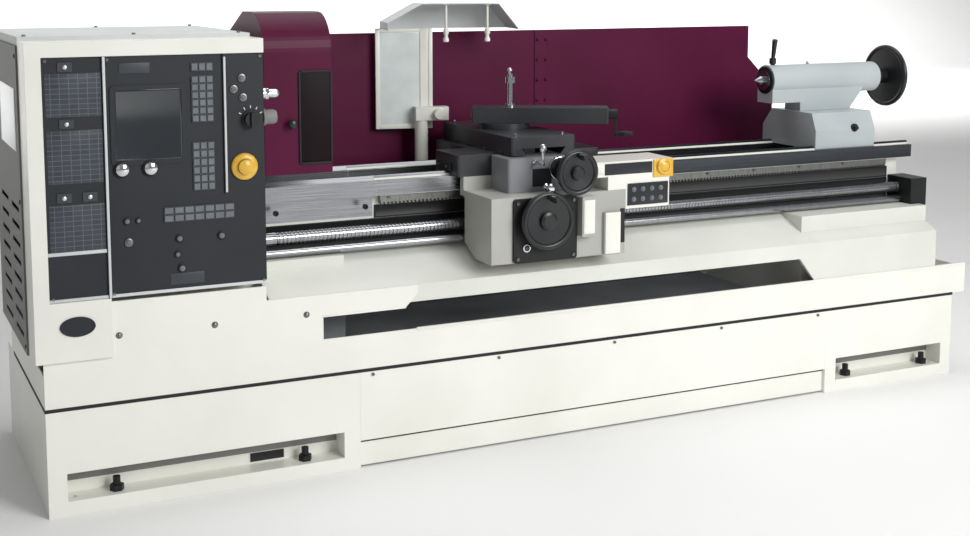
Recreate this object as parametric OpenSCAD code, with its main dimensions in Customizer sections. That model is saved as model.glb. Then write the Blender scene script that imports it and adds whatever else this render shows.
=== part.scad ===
// Engine lathe with a gap bed. X runs along the bed to the right, Y to the back, Z up.
// The model stands on the floor and is centred over its own outline.

/* [Base] */
// Length over both pedestals
base_len = 3085; // [2700:5:3400]
// Depth of the base, front to back
base_depth = 760; // [720:5:840]
// Height of the pedestals
base_h = 290; // [250:5:330]
// Width of the left pedestal
left_ped_w = 861; // [780:1:900]
// Width of the right pedestal
right_ped_w = 557; // [500:1:620]
// Wall of the pedestals
ped_wall = 22; // [12:1:30]
// Depth of the toe recess
toe_depth = 70; // [50:1:90]
// Height of the foot flange under the toe recess
foot_h = 40; // [30:1:50]
// Radius of the anchor holes
anchor_r = 9; // [6:0.5:11]
// Radius of the levelling screws
level_r = 10; // [8:0.5:12]

/* [Chip tray] */
// Length of the tray
tray_len = 3141; // [3110:1:3200]
// Depth of the tray behind the bed
tray_behind = 140; // [135:1:180]
// Thickness of the tray sheet
tray_t = 4; // [3:0.5:6]
// Height of the front lip over the pedestals
lip_h = 102; // [80:1:120]
// Height of the skirt at the head end
skirt_h = 270; // [240:1:275]

/* [Bed] */
// Height of the ways over the floor
way_h = 800; // [780:1:840]
// Width of the bed over the ways
bed_w = 340; // [320:1:360]
// Height of the bed casting
bed_h = 210; // [190:1:220]
// Width of each way
way_w = 100; // [90:1:110]
// Thickness of the way slabs
way_t = 45; // [35:1:50]
// Height of the vee ways
vee_h = 12; // [8:0.5:14]
// Wall of the bed casting
bed_wall = 30; // [20:1:40]
// Length of the gap bridge
gap_len = 345; // [300:1:380]
// Depth of the gap below the ways
gap_h = 110; // [90:1:130]

/* [Headstock] */
// Height of the spindle over the ways
centre_h = 235; // [220:1:250]
// Width of the headstock
head_w = 540; // [500:1:570]
// Wall of the headstock casting
head_wall = 30; // [20:1:40]
// Radius of the bore through the spindle
spindle_bore_r = 26; // [20:1:32]
// Outer radius of the spindle
spindle_r = 48; // [42:1:52]
// Radius of the chuck
chuck_r = 125; // [110:1:140]
// Length of the chuck body
chuck_len = 78; // [70:1:90]
// Radius of the hole through the chuck
chuck_bore_r = 36; // [32:1:40]

/* [Carriage] */
// Length of the saddle wings
saddle_len = 490; // [460:1:520]
// Height of the saddle
saddle_h = 65; // [60:1:75]
// Width of the cross slide
slide_w = 220; // [200:1:240]
// Length of the cross slide
slide_len = 500; // [460:1:520]
// Length of the top slide
top_len = 430; // [380:1:450]
// Width of the top slide
top_w = 104; // [90:1:120]
// Angle that the top slide is set over
swivel_angle = 28; // [0:1:40]
// Radius of the tool-post stud
stud_r = 9; // [7:0.5:11]
// Radius of the carriage handwheel
carriage_wheel_r = 86; // [70:1:95]
// Radius of the cross-slide handwheel
cross_wheel_r = 68; // [55:1:75]

/* [Tailstock] */
// Radius of the barrel
barrel_r = 53; // [48:1:60]
// Radius of the quill
quill_r = 35; // [30:1:38]
// Radius of the handwheel
tail_wheel_r = 112; // [90:1:115]

/* [Guards and boxes] */
// Top of the control box over the floor
box_top = 1235; // [1200:1:1260]
// Depth of the control box
box_depth = 120; // [100:1:125]
// Thickness of the guard sheets
guard_t = 3; // [2:0.5:4]
// Height of the splash guard over the floor
splash_top = 1213; // [1150:1:1220]
// Depth of the electrical cabinet
cabinet_depth = 196; // [150:1:220]

/* [Hidden] */
$fn = 96;

// Running clearance of a shaft in its bore, sliding clearance, gap beside a part that moves
run_gap = 0.05;
slide_gap = 0.1;
near_gap = 0.5;
// Overrun of every cut
over = 1;

// Planes that the sub-assemblies share
spindle_z = way_h + centre_h;
bed_y0 = 180;
bed_y1 = bed_y0 + bed_w;
tray_depth = bed_y1 + tray_behind;
spindle_y = bed_y0 + bed_w / 2;
end_x = 60;
head_x1 = end_x + head_w;
gap_x0_off = 40;
gap_x0 = head_x1 + gap_x0_off;
gap_x1 = gap_x0 + gap_len;
bed_x1_off = 80;
bed_x1 = base_len - bed_x1_off;
way_x1_off = 35;
way_x1 = bed_x1 + way_x1_off;
bed_low = way_h - bed_h;
wall_y0_off = 35;
wall_y0 = bed_y0 + wall_y0_off;
wall_y1_off = 35;
wall_y1 = bed_y1 - wall_y1_off;
tray_z = base_h;
tray_top_off = 6;
tray_top = tray_z + tray_top_off;
head_y0_off = 30;
head_y0 = bed_y0 - head_y0_off;
head_y1_off = 80;
head_y1 = bed_y1 + head_y1_off;
head_top_off = 422;
head_top = way_h + head_top_off;

// Front to back place, width share and side of each vee way
front_vee_in = 30;
rear_vee_in = 75;
vee_places = [bed_y0 + front_vee_in, bed_y1 - rear_vee_in];
vee_half = 15;

// Shapes placed by their planes
module block(x0, x1, y0, y1, z0, z1) {
    translate([x0, y0, z0]) cube([x1 - x0, y1 - y0, z1 - z0]);
}
module bar_x(x0, x1, y, z, r) {
    translate([x0, y, z]) rotate([0, 90, 0]) cylinder(h = x1 - x0, r = r);
}
module bar_y(x, y0, y1, z, r) {
    translate([x, y0, z]) rotate([-90, 0, 0]) cylinder(h = y1 - y0, r = r);
}
module bar_z(x, y, z0, z1, r) {
    translate([x, y, z0]) cylinder(h = z1 - z0, r = r);
}
// An outline in Y and Z drawn along X, and one in X and Z drawn along Y
module along_x(x0, x1) {
    translate([x0, 0, 0]) rotate([90, 0, 90]) linear_extrude(x1 - x0) children();
}
module along_y(y0, y1) {
    translate([0, y1, 0]) rotate([90, 0, 0]) linear_extrude(y1 - y0) children();
}
module rect(a0, a1, b0, b1) {
    translate([a0, b0]) square([a1 - a0, b1 - b0]);
}
// A rectangle with round corners
module soft_rect(a0, a1, b0, b1, r) {
    rect(a0 + r, a1 - r, b0, b1);
    rect(a0, a1, b0 + r, b1 - r);
    for (a = [a0 + r, a1 - r], b = [b0 + r, b1 - r]) translate([a, b]) circle(r);
}
// Points along a round stretch of an outline
arc_steps = 16;
function arc(c, r, a0, a1) =
    [for (i = [0 : arc_steps]) c + r * [cos(a0 + (a1 - a0) * i / arc_steps), sin(a0 + (a1 - a0) * i / arc_steps)]];
// A ring turned about an axis along X or Y, from an outline of radius and length
module turned_x(x, y, z) {
    translate([x, y, z]) rotate([0, 90, 0]) rotate_extrude() children();
}
module turned_y(x, y, z) {
    translate([x, y, z]) rotate([90, 0, 0]) rotate_extrude() children();
}

// Base

foot_inset_l = 49;
foot_inset_r = 45;
toe_top = 115;
bolt_inset = 40;
right_ped_x = base_len - right_ped_w;
anchor_inset_x = 68;
level_shares = [0.21, 0.82];
anchor_y0 = 35;
anchor_y1 = base_depth - anchor_y0;
anchor_span_x = base_len - 2 * anchor_inset_x;

// Cast pedestal: closed box with a toe recess in front and behind
module pedestal(w, inset, left_anchor) {
    difference() {
        cube([w, base_depth, base_h]);
        for (y = [-over, base_depth - toe_depth])
            translate([inset, y, foot_h]) cube([w - 2 * inset, toe_depth + over, toe_top - foot_h]);
        translate([ped_wall, toe_depth + ped_wall, ped_wall])
            cube([w - 2 * ped_wall, base_depth - 2 * toe_depth - 2 * ped_wall, base_h - 2 * ped_wall]);
        for (y = [anchor_y0, anchor_y1], x = w * level_shares)
            translate([x, y, -over]) cylinder(h = foot_h + 2 * over, r = level_r + near_gap);
        for (y = [anchor_y0, anchor_y1])
            translate([left_anchor, y, -over]) cylinder(h = foot_h + 2 * over, r = anchor_r);
    }
}

module left_pedestal() {
    color("ivory") pedestal(left_ped_w, foot_inset_l, anchor_inset_x);
}

module right_pedestal() {
    color("ivory") translate([right_ped_x, 0, 0])
        pedestal(right_ped_w, foot_inset_r, right_ped_w - anchor_inset_x);
}

panel_t = 3;
panel_low = 83;
panel_flange = 40;
plinth_y = 12;
plinth_low = 6;

// Folded sheet between the pedestals, with a plinth strip set back below it
module centre_panel() {
    color("ivory") along_x(left_ped_w, right_ped_x) {
        rect(0, panel_t, panel_low, base_h);
        rect(0, panel_flange, base_h - panel_t, base_h);
        rect(0, panel_flange, panel_low, panel_low + panel_t);
        rect(plinth_y, plinth_y + panel_t, plinth_low, panel_low + panel_t);
    }
}

tank_gap = 39;
tank_y0 = 60;
tank_y1 = 700;
tank_low = 20;
tank_top = 270;
tank_t = 3;
skid_w = 60;
neck_r = 55;

// Closed coolant tank on two skids, with a filler cap
module coolant_tank() {
    x0 = left_ped_w + tank_gap;
    x1 = right_ped_x - tank_gap;
    color("dimgray") {
        difference() {
            block(x0, x1, tank_y0, tank_y1, tank_low, tank_top);
            block(x0 + tank_t, x1 - tank_t, tank_y0 + tank_t, tank_y1 - tank_t,
                tank_low + tank_t, tank_top - tank_t);
        }
        for (x = [x0, x1 - skid_w]) block(x, x + skid_w, tank_y0, tank_y1, 0, tank_low);
        bar_z(x1 - 2 * neck_r, tank_y1 - 1.5 * neck_r, tank_top, base_h, neck_r);
    }
}

nut_r = 19;
nut_h = 16;
screw_top = 78;

// Levelling screws through the foot flanges, each with its lock nut
module levelling_screws() {
    color("dimgray")
        for (ped = [[0, left_ped_w], [right_ped_x, right_ped_w]], x = level_shares,
                y = [anchor_y0, anchor_y1])
            translate([ped[0] + ped[1] * x, y, 0]) {
                cylinder(h = screw_top, r = level_r);
                translate([0, 0, foot_h]) cylinder(h = nut_h, r = nut_r, $fn = 6);
            }
}

// Chip tray

strip_x0 = 754;
strip_x1 = 1040;
strip_low = 168;
strip_cut = 37;
skirt_low_h_off = 40;
skirt_low_h = skirt_h - skirt_low_h_off;
skirt_step_x = 592;
leg_x1 = 175;
leg_low = 415;
tray_back_h = 90;

module tray_front_2d() {
    polygon([[0, tray_z], [tray_len, tray_z], [tray_len, tray_z + lip_h],
        [strip_x0, tray_z + lip_h], [strip_x0, tray_z + strip_low],
        [strip_x1 - strip_cut, tray_z + strip_low], [strip_x1, tray_z + strip_low + strip_cut],
        [strip_x1, tray_z + skirt_low_h], [skirt_step_x, tray_z + skirt_low_h],
        [skirt_step_x, tray_z + skirt_h], [leg_x1, tray_z + skirt_h], [leg_x1, leg_low],
        [0, leg_low]]);
}

// Full-length sheet tray whose front rises as a skirt at the head end
module chip_tray() {
    color("ivory") {
        block(0, tray_len, 0, tray_depth, tray_z, tray_top);
        along_y(0, tray_t) tray_front_2d();
        block(0, tray_len, tray_depth - tray_t, tray_depth, tray_z, tray_z + tray_back_h);
        for (x = [0, tray_len - tray_t])
            block(x, x + tray_t, 0, tray_depth, tray_z, tray_z + tray_back_h);
    }
}

bolt_r = 9;
bolt_head = 6;
skirt_bolt_z = 468;
skirt_bolt_x = [193, 447, 705];

// Button-head bolts on the skirt
module skirt_bolts() {
    color("silver") for (x = skirt_bolt_x)
        turned_y(x, 0, skirt_bolt_z)
            intersection() {
                rect(0, bolt_r, 0, bolt_head);
                translate([0, -bolt_r / 2]) circle(bolt_r * 1.15);
            }
}

// Bed

flank_y = 5;
flank_t = 12;
flank_low = 470;
flank_mid = 520;
flank_x0 = head_x1;
rib_t = 25;
rib_pitch = 300;
rib_top_off = 15;
rib_top = way_h - way_t - rib_top_off;
foot_l_x1 = 860;
foot_l_y0 = 120;
foot_r_x0 = 2460;
foot_r_y0 = 60;
foot_wall = 25;
fillet_x0 = 2414;
fillet_x1 = 2476;
keel = 10;

// The slabs that carry the ways, and the walls below them
module slabs_2d() {
    rect(bed_y0, bed_y0 + way_w, way_h - way_t, way_h);
    rect(bed_y1 - way_w, bed_y1, way_h - way_t, way_h);
}
module walls_2d() {
    rect(wall_y0, wall_y0 + bed_wall, bed_low, way_h - way_t + over);
    rect(wall_y1 - bed_wall, wall_y1, bed_low, way_h - way_t + over);
    rect(wall_y0, wall_y0 + 2 * bed_wall, bed_low, bed_low + bed_wall);
    rect(wall_y1 - 2 * bed_wall, wall_y1, bed_low, bed_low + bed_wall);
}
// The vee ways, with a clearance for what rides on them
module vees_2d(gap) {
    for (y = vee_places)
        polygon([[y - vee_half - gap, way_h - over], [y - vee_half - gap, way_h],
            [y - vee_half / 4 - gap, way_h + vee_h + gap], [y + vee_half / 4 + gap, way_h + vee_h + gap],
            [y + vee_half + gap, way_h], [y + vee_half + gap, way_h - over]]);
}

// The raking flank that sheds chips into the tray
module flank() {
    along_x(flank_x0, bed_x1)
        polygon([[wall_y0 + flank_t, bed_low + keel], [bed_y0, bed_low + keel],
            [flank_y, flank_mid], [flank_y, flank_low], [flank_y + flank_t, flank_low],
            [flank_y + flank_t, flank_mid - flank_t / 2], [bed_y0 + flank_t / 2, bed_low - flank_t / 4],
            [wall_y0 + flank_t, bed_low - flank_t / 4]]);
    along_y(flank_y, flank_y + flank_t)
        polygon([[fillet_x0, flank_low + flank_t], [fillet_x0, flank_low],
            [fillet_x1, tray_z + lip_h], [bed_x1, tray_z + lip_h], [bed_x1, flank_low + flank_t]]);
}

// One hollow foot under the bed
module bed_foot(x0, x1, y0, open_end) {
    difference() {
        block(x0, x1, y0, head_y1, tray_top, bed_low + keel);
        block(open_end ? x0 - over : x0 + foot_wall, x1 - foot_wall, y0 + foot_wall,
            head_y1 - foot_wall, tray_top + foot_wall / 2, bed_low + keel - foot_wall);
    }
}

module bed() {
    color("ivory") difference() {
        union() {
            along_x(end_x, bed_x1) walls_2d();
            along_x(end_x, way_x1) slabs_2d();
            along_x(gap_x1, way_x1) vees_2d(0);
            for (x = [end_x : rib_pitch : bed_x1 - rib_t])
                block(x, x + rib_t, wall_y0 + over, wall_y1 - over, bed_low, rib_top);
            for (x = [gap_x0 - rib_t, gap_x1])
                block(x, x + rib_t, wall_y0 + over, wall_y1 - over, bed_low, rib_top);
            flank();
            bed_foot(end_x, foot_l_x1, foot_l_y0, true);
            bed_foot(foot_r_x0, bed_x1, foot_r_y0, false);
        }
        block(gap_x0, gap_x1, bed_y0 - over, bed_y1 + over, way_h - gap_h, way_h + over);
    }
}

// The removable piece of bed that fills the gap
module gap_bridge() {
    color("lightgray") {
        along_x(gap_x0 + slide_gap, gap_x1 - slide_gap) slabs_2d();
        along_x(gap_x0 + slide_gap, gap_x1 - slide_gap) vees_2d(0);
        along_x(gap_x0 + slide_gap, gap_x1 - slide_gap) difference() {
            rect(wall_y0, wall_y1, way_h - gap_h, way_h - way_t + over);
            rect(wall_y0 + bed_wall, wall_y1 - bed_wall, way_h - gap_h + bed_wall, way_h);
        }
    }
}

pinion_teeth = 19;
pinion_r = 38;
rack_pitch = 2 * PI * pinion_r / pinion_teeth;
rack_y0_off = 12;
rack_y0 = bed_y0 + rack_y0_off;
rack_h = 26;
rack_top = way_h - way_t;
rack_pitch_z = rack_top - rack_h;
tooth_add = 3;
tooth_ded = 4;
tooth_half = 2.4;
tooth_slope = tan(20);
wheel_x = 1416;
rack_x0 = wheel_x - rack_pitch * floor((wheel_x - gap_x1 - rack_pitch) / rack_pitch);
rack_teeth = floor((bed_x1 - bed_wall * 2 - rack_x0) / rack_pitch);

// Straight rack under the front way, with its teeth down
module rack() {
    color("gray") along_y(rack_y0, wall_y0)
        polygon(concat([[rack_x0, rack_top]],
            [for (i = [0 : rack_teeth - 1], p = [[-tooth_half - tooth_ded * tooth_slope, tooth_ded],
                    [-tooth_half + tooth_add * tooth_slope, -tooth_add],
                    [tooth_half - tooth_add * tooth_slope, -tooth_add],
                    [tooth_half + tooth_ded * tooth_slope, tooth_ded]])
                [rack_x0 + (i + 0.5) * rack_pitch + p[0], rack_pitch_z + p[1]]],
            [[rack_x0 + rack_teeth * rack_pitch, rack_top]]));
}

// Headstock

front_bearing_r = 85;
rear_bearing_r = 74;
bearing_w = 55;
boss_wall = 24;
lip = 10;
cover_gap = 0.5;
guard_pin_r = 10;
guard_hinge_y_off = 45;
guard_hinge_y = head_y1 - guard_hinge_y_off;
guard_hinge_z_off = 45;
guard_hinge_z = head_top - guard_hinge_z_off;
guard_x0 = gap_x0;

// Cast housing, open at the top, with a bearing seat in each end wall
module headstock_housing() {
    color("ivory") {
        difference() {
            union() {
                difference() {
                    block(end_x, head_x1, head_y0, head_y1, way_h, head_top);
                    block(end_x + head_wall, head_x1 - head_wall, head_y0 + head_wall,
                        head_y1 - head_wall, way_h + head_wall, head_top + over);
                }
                bar_x(head_x1 - bearing_w - lip, head_x1 - over, spindle_y, spindle_z,
                    front_bearing_r + boss_wall);
                bar_x(end_x + over, end_x + bearing_w + lip, spindle_y, spindle_z,
                    rear_bearing_r + boss_wall);
            }
            bar_x(head_x1 - bearing_w, head_x1 + over, spindle_y, spindle_z, front_bearing_r);
            bar_x(end_x - over, end_x + bearing_w, spindle_y, spindle_z, rear_bearing_r);
            bar_x(end_x, head_x1, spindle_y, spindle_z, spindle_r + lip);
        }
        bar_x(head_x1 - over, guard_x0 - near_gap, guard_hinge_y, guard_hinge_z, 2 * guard_pin_r);
        bar_x(head_x1 - over, guard_x0 + 2 * guard_pin_r, guard_hinge_y, guard_hinge_z, guard_pin_r);
    }
}

// A bearing drawn as its two rings and the race between them
module bearing(outer_r, inner_r) {
    ring = (outer_r - inner_r) / 3;
    rotate_extrude() {
        rect(inner_r + run_gap, inner_r + ring, 0, bearing_w);
        rect(outer_r - ring, outer_r - run_gap, 0, bearing_w);
        rect(inner_r + ring - over, outer_r - ring + over, bearing_w * 0.2, bearing_w * 0.8);
    }
}

module spindle_bearings() {
    color("silver") {
        translate([head_x1 - bearing_w, spindle_y, spindle_z]) rotate([0, 90, 0])
            bearing(front_bearing_r, spindle_r);
        translate([end_x, spindle_y, spindle_z]) rotate([0, 90, 0])
            bearing(rear_bearing_r, spindle_r);
    }
}

head_cover_t = 23;
head_cover_x0 = -20;
head_cover_x1_off = 10;
head_cover_x1 = head_x1 - head_cover_x1_off;
head_cover_y1 = 700;

// Folded top cover with a rim
module headstock_cover() {
    color("gainsboro") difference() {
        block(head_cover_x0, head_cover_x1, box_back, head_cover_y1, head_top, head_top + head_cover_t);
        block(end_x + head_wall, head_x1 - head_wall - lip, head_y0 + head_wall, head_y1 - head_wall,
            head_top - over, head_top + head_cover_t / 2);
    }
}

nose_r = 82;
nose_t = 36;
spindle_x0 = 2;
nose_x1_off = 2;
nose_x1 = gap_x0 + nose_x1_off;
collar_r = 62;

// Hollow spindle with a nose flange for the chuck
module spindle() {
    color("silver") turned_x(spindle_x0, spindle_y, spindle_z)
        difference() {
            union() {
                rect(0, spindle_r, 0, nose_x1 - spindle_x0);
                rect(0, nose_r, nose_x1 - nose_t - spindle_x0, nose_x1 - spindle_x0);
                rect(0, spindle_r + lip / 2, end_x + bearing_w + lip - spindle_x0,
                    head_x1 - bearing_w - lip - spindle_x0);
            }
            rect(-over, spindle_bore_r, -over, nose_x1 - spindle_x0 + over);
        }
}

belt_w = 34;
belt_t = 8;
belt_x0 = 13;
spindle_pulley_r = 92;
motor_pulley_r = 52;
flange_h = 9;
flange_t = 4;
motor_y = 450;
motor_z = 490;

// Belt pulley with a flange on each side
module pulley(r, bore) {
    rotate_extrude() difference() {
        union() {
            rect(0, r, 0, belt_w + 2 * flange_t);
            for (z = [0, belt_w + flange_t]) rect(0, r + flange_h, z, z + flange_t);
        }
        rect(-over, bore, -over, belt_w + 2 * flange_t + over);
        rect(bore + lip * 1.5, r - lip, -over, belt_w * 0.3);
    }
}

module spindle_pulley() {
    color("dimgray") translate([belt_x0 - flange_t, spindle_y, spindle_z]) rotate([0, 90, 0])
        pulley(spindle_pulley_r, spindle_r);
}

motor_shaft_r = 14;
motor_x0 = 92;
motor_len = 330;
motor_r = 84;
fin_h = 8;
fins = 32;

module motor_pulley() {
    color("dimgray") {
        translate([belt_x0 - flange_t, motor_y, motor_z]) rotate([0, 90, 0])
            pulley(motor_pulley_r, motor_shaft_r - lip / 2);
        bar_x(belt_x0, motor_x0 + motor_len / 4, motor_y, motor_z, motor_shaft_r);
    }
}

// Finned motor on a ribbed foot
module drive_motor() {
    color("slategray") difference() {
        union() {
            bar_x(motor_x0, motor_x0 + motor_len, motor_y, motor_z, motor_r - fin_h);
            bar_x(motor_x0 + 2 * lip, motor_x0 + 4 * lip, motor_y, motor_z, motor_r);
            bar_x(motor_x0 + motor_len - 6 * lip, motor_x0 + motor_len - lip, motor_y, motor_z, motor_r);
            for (a = [0 : 360 / fins : 359])
                translate([motor_x0 + 3 * lip, motor_y, motor_z]) rotate([a, 0, 0])
                    translate([0, -flange_t / 2, 0]) cube([motor_len - 6 * lip, flange_t / 2, motor_r - over]);
            for (x = [motor_x0 + 4 * lip, motor_x0 + motor_len - 8 * lip])
                block(x, x + 2 * lip, motor_y - motor_r, motor_y + motor_r,
                    tray_top + foot_wall / 2, motor_z - motor_r / 2);
            block(motor_x0, motor_x0 + motor_len, motor_y - motor_r, motor_y + motor_r,
                tray_top + foot_wall / 2, tray_top + foot_wall / 2 + lip);
        }
        bar_x(motor_x0 - over, motor_x0 + motor_len / 4 + lip, motor_y, motor_z,
            motor_shaft_r + run_gap);
    }
}

belt_dy = motor_y - spindle_y;
belt_dz = motor_z - spindle_z;
belt_span = norm([belt_dy, belt_dz]);
belt_dir = atan2(belt_dz, belt_dy);
belt_lean = asin((spindle_pulley_r - motor_pulley_r) / belt_span);

// Outline of two circles joined by their outer tangents
module belt_2d(extra) {
    r1 = spindle_pulley_r + extra;
    r2 = motor_pulley_r + extra;
    up = 90 - belt_lean;
    translate([spindle_y, spindle_z]) rotate(belt_dir)
        polygon(concat(arc([0, 0], r1, up, 360 - up), arc([belt_span, 0], r2, -up, up)));
}

module drive_belt() {
    color("black") along_x(belt_x0 + near_gap, belt_x0 + belt_w - near_gap) difference() {
        belt_2d(near_gap + belt_t);
        belt_2d(near_gap);
    }
}

slot_w = 32;
slot_h = 22;
jaw_in = 32;
jaw_len = 76;
jaw_out = 48;
jaw_steps = 3;
chuck_x1 = nose_x1 + chuck_len;
key_w = 11;

// Chuck body with three jaw slots and three key sockets
module chuck_body() {
    color("silver") translate([nose_x1, spindle_y, spindle_z]) rotate([0, 90, 0]) difference() {
        rotate_extrude() difference() {
            polygon([[chuck_bore_r, 0], [chuck_r - lip, 0], [chuck_r, lip], [chuck_r, chuck_len - lip / 2],
                [chuck_r - lip / 2, chuck_len], [chuck_bore_r, chuck_len]]);
            translate([chuck_r + lip / 4, chuck_len * 0.62]) circle(lip / 2);
        }
        for (a = [0 : 120 : 240]) rotate(a + 180) {
            translate([0, -slot_w / 2, chuck_len - slot_h]) cube([chuck_r + over, slot_w, slot_h + over]);
            rotate(60) translate([chuck_r - 3 * lip, -key_w / 2, chuck_len * 0.3])
                cube([4 * lip, key_w, key_w]);
        }
    }
}

// Stepped jaw that slides in the chuck's slot
module chuck_jaw(i) {
    step_len = jaw_len / jaw_steps;
    step_h = jaw_out / jaw_steps;
    color("silver") translate([chuck_x1, spindle_y, spindle_z]) rotate([0, 90, 0])
        rotate(120 * i + 180) {
            translate([jaw_in, -slot_w / 2 + run_gap, -slot_h + run_gap])
                cube([jaw_len, slot_w - 2 * run_gap, slot_h]);
            for (k = [1 : jaw_steps])
                translate([jaw_in, -slot_w / 2 + run_gap, 0])
                    cube([jaw_len - (k - 1) * step_len, slot_w - 2 * run_gap, k * step_h]);
        }
}

// Control box

box_back_off = 12;
box_back = box_depth - box_back_off;
box_y0 = box_back - box_depth;
box_x0 = -20;
box_x1 = 592;
box_low = 571;
box_wall = 20;
strip_w = 40;
rail_h = 38;
fascia_y = 0;
fascia_t = 6;
fascia_y0 = fascia_y - fascia_t;
fascia_x0 = box_x0 + strip_w;
fascia_top = box_top - rail_h;
button_r = 11;
button_travel = 4;
button_depth = 18;
selector_x = 555;
selector_z = 1020;
estop_x = 535;
estop_z = 894;
estop_r = 20;
start_x = 212;
stop_x = 285;
push_z = 905;
control_places = [[start_x, push_z], [stop_x, push_z], [estop_x, estop_z], [selector_x, selector_z]];

// Welded box in front of the headstock, with a leg down to the tray
module control_box() {
    color("white") difference() {
        union() {
            block(box_x0, box_x1, fascia_y, box_back, box_low, box_top);
            block(box_x0, fascia_x0, box_y0, fascia_y + over, box_low, box_top);
            block(box_x0, box_x1, box_y0, fascia_y + over, fascia_top, box_top);
            block(box_x0, leg_x1, box_y0, box_back, leg_low, box_low);
            block(box_x0, leg_x1, fascia_y, box_back, leg_low, box_low + over);
        }
        block(box_x0 + box_wall, box_x1 - box_wall, fascia_y + 2 * box_wall, box_back - box_wall / 2,
            box_low + box_wall, box_top - box_wall);
        for (p = control_places)
            bar_y(p[0], fascia_y - over, fascia_y + button_depth + button_travel + near_gap, p[1],
                button_r + run_gap);
    }
}

divider_x = 173;
divider2_x = 485;
divider_w = 9;
divider2_low = 827;
screen = [186, 382, 914, 1121];
estop_base_r = 26;

// Recessed fascia with its bosses, dividers and screen bezel
module panel_fascia() {
    color("#34373a") difference() {
        union() {
            block(fascia_x0, box_x1, fascia_y0, fascia_y, box_low, fascia_top);
            block(divider_x - divider_w / 2, divider_x + divider_w / 2, box_y0, fascia_y0 + over,
                box_low, fascia_top);
            block(divider2_x - divider_w / 2, divider2_x + divider_w / 2, box_y0, fascia_y0 + over,
                divider2_low, fascia_top);
            along_y(box_y0 + fascia_t / 2, fascia_y0 + over) difference() {
                soft_rect(screen[0], screen[1], screen[2], screen[3], 2 * fascia_t);
                soft_rect(screen[0] + 2 * fascia_t, screen[1] - 2 * fascia_t,
                    screen[2] + 2 * fascia_t, screen[3] - 2 * fascia_t, fascia_t);
            }
            for (p = [[start_x, push_z], [stop_x, push_z]])
                bar_y(p[0], box_y0, fascia_y0 + over, p[1], 1.6 * button_r);
            bar_y(estop_x, box_y0, fascia_y0 + over, estop_z, estop_base_r);
            bar_y(selector_x, box_y0, fascia_y0 + over, selector_z, 2.2 * button_r);
        }
        for (p = control_places)
            bar_y(p[0], box_y0 - over, fascia_y + over, p[1], button_r + run_gap);
    }
}

keypads = [[396, 455, 1152, 1175], [396, 455, 1018, 1141], [396, 455, 837, 967],
    [60, 96, 1160, 1184], [60, 96, 1017, 1040], [48, 84, 828, 852], [112, 148, 828, 852],
    [316, 505, 758, 799]];
keypad_t = 3;

// Raised keypads and small keys on the fascia
module membrane_keypads() {
    color("gray") for (k = keypads)
        along_y(fascia_y0 - keypad_t, fascia_y0) soft_rect(k[0], k[1], k[2], k[3], keypad_t);
}

// Push button with a domed face
module push_button(x, z, head_r, head_t) {
    bar_y(x, box_y0 - near_gap - button_travel, fascia_y + button_depth, z, button_r);
    turned_y(x, box_y0 - near_gap - button_travel, z) intersection() {
        rect(0, head_r, 0, head_t);
        translate([0, head_t - 2 * head_r]) circle(2 * head_r);
    }
}

module start_button() {
    color("silver") push_button(start_x, push_z, 1.5 * button_r, 0.5 * button_r);
}
module stop_button() {
    color("silver") push_button(stop_x, push_z, 1.5 * button_r, 0.5 * button_r);
}
module panel_estop() {
    color("goldenrod") push_button(estop_x, estop_z, estop_r, estop_r * 0.8);
}
module panel_selector() {
    color("#202224") {
        bar_y(selector_x, box_y0 - near_gap, fascia_y + button_depth, selector_z, button_r);
        bar_y(selector_x, box_y0 - 1.5 * button_r, box_y0 - near_gap, selector_z, 1.8 * button_r);
        translate([selector_x, box_y0 - 2.2 * button_r, selector_z])
            translate([-button_r / 2, 0, -1.8 * button_r]) cube([button_r, button_r, 3.6 * button_r]);
    }
}

// Feed gearbox and shafts

lead_y = 165;
lead_z_off = 145;
lead_z = way_h - lead_z_off;
lead_r = 18;
feed_y = 150;
feed_z_off = 185;
feed_z = way_h - feed_z_off;
feed_r = 12;
gearbox_x0 = 85;
gearbox_low = bed_low + keel;
bracket_reach = 55;
bracket_drop = 44;
gearbox_top_off = 80;
gearbox_top = way_h - gearbox_top_off;
shaft_in = 55;
bracket_x0_off = 39;
bracket_x0 = bed_x1 - bracket_x0_off;
bracket_x1_off = 31;
bracket_x1 = bed_x1 + bracket_x1_off;
bracket_high_off = 109;
bracket_high = way_h - bracket_high_off;

// Gearbox on the bed's front wall, behind the control box
module feed_gearbox() {
    color("gainsboro") difference() {
        block(gearbox_x0, head_x1, box_back + near_gap, wall_y0, gearbox_low, gearbox_top);
        bar_x(head_x1 - shaft_in - lip, head_x1 + over, lead_y, lead_z, lead_r + run_gap);
        bar_x(head_x1 - shaft_in - lip, head_x1 + over, feed_y, feed_z, feed_r + run_gap);
    }
}

// Bracket that carries the far ends of both shafts
module screw_end_bracket() {
    color("#3a3c3e") difference() {
        union() {
            block(bracket_x0, bracket_x1, feed_y - bracket_reach, wall_y0, bed_low + keel + near_gap, bracket_high);
            block(bed_x1 + near_gap, bracket_x1, feed_y - bracket_reach, wall_y0, bed_low - bracket_drop, bed_low + 2 * keel);
        }
        bar_x(bracket_x0 - over, bracket_x1 + over, lead_y, lead_z, lead_r + run_gap);
        bar_x(bracket_x0 - over, bracket_x1 + over, feed_y, feed_z, feed_r + run_gap);
    }
}

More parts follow.
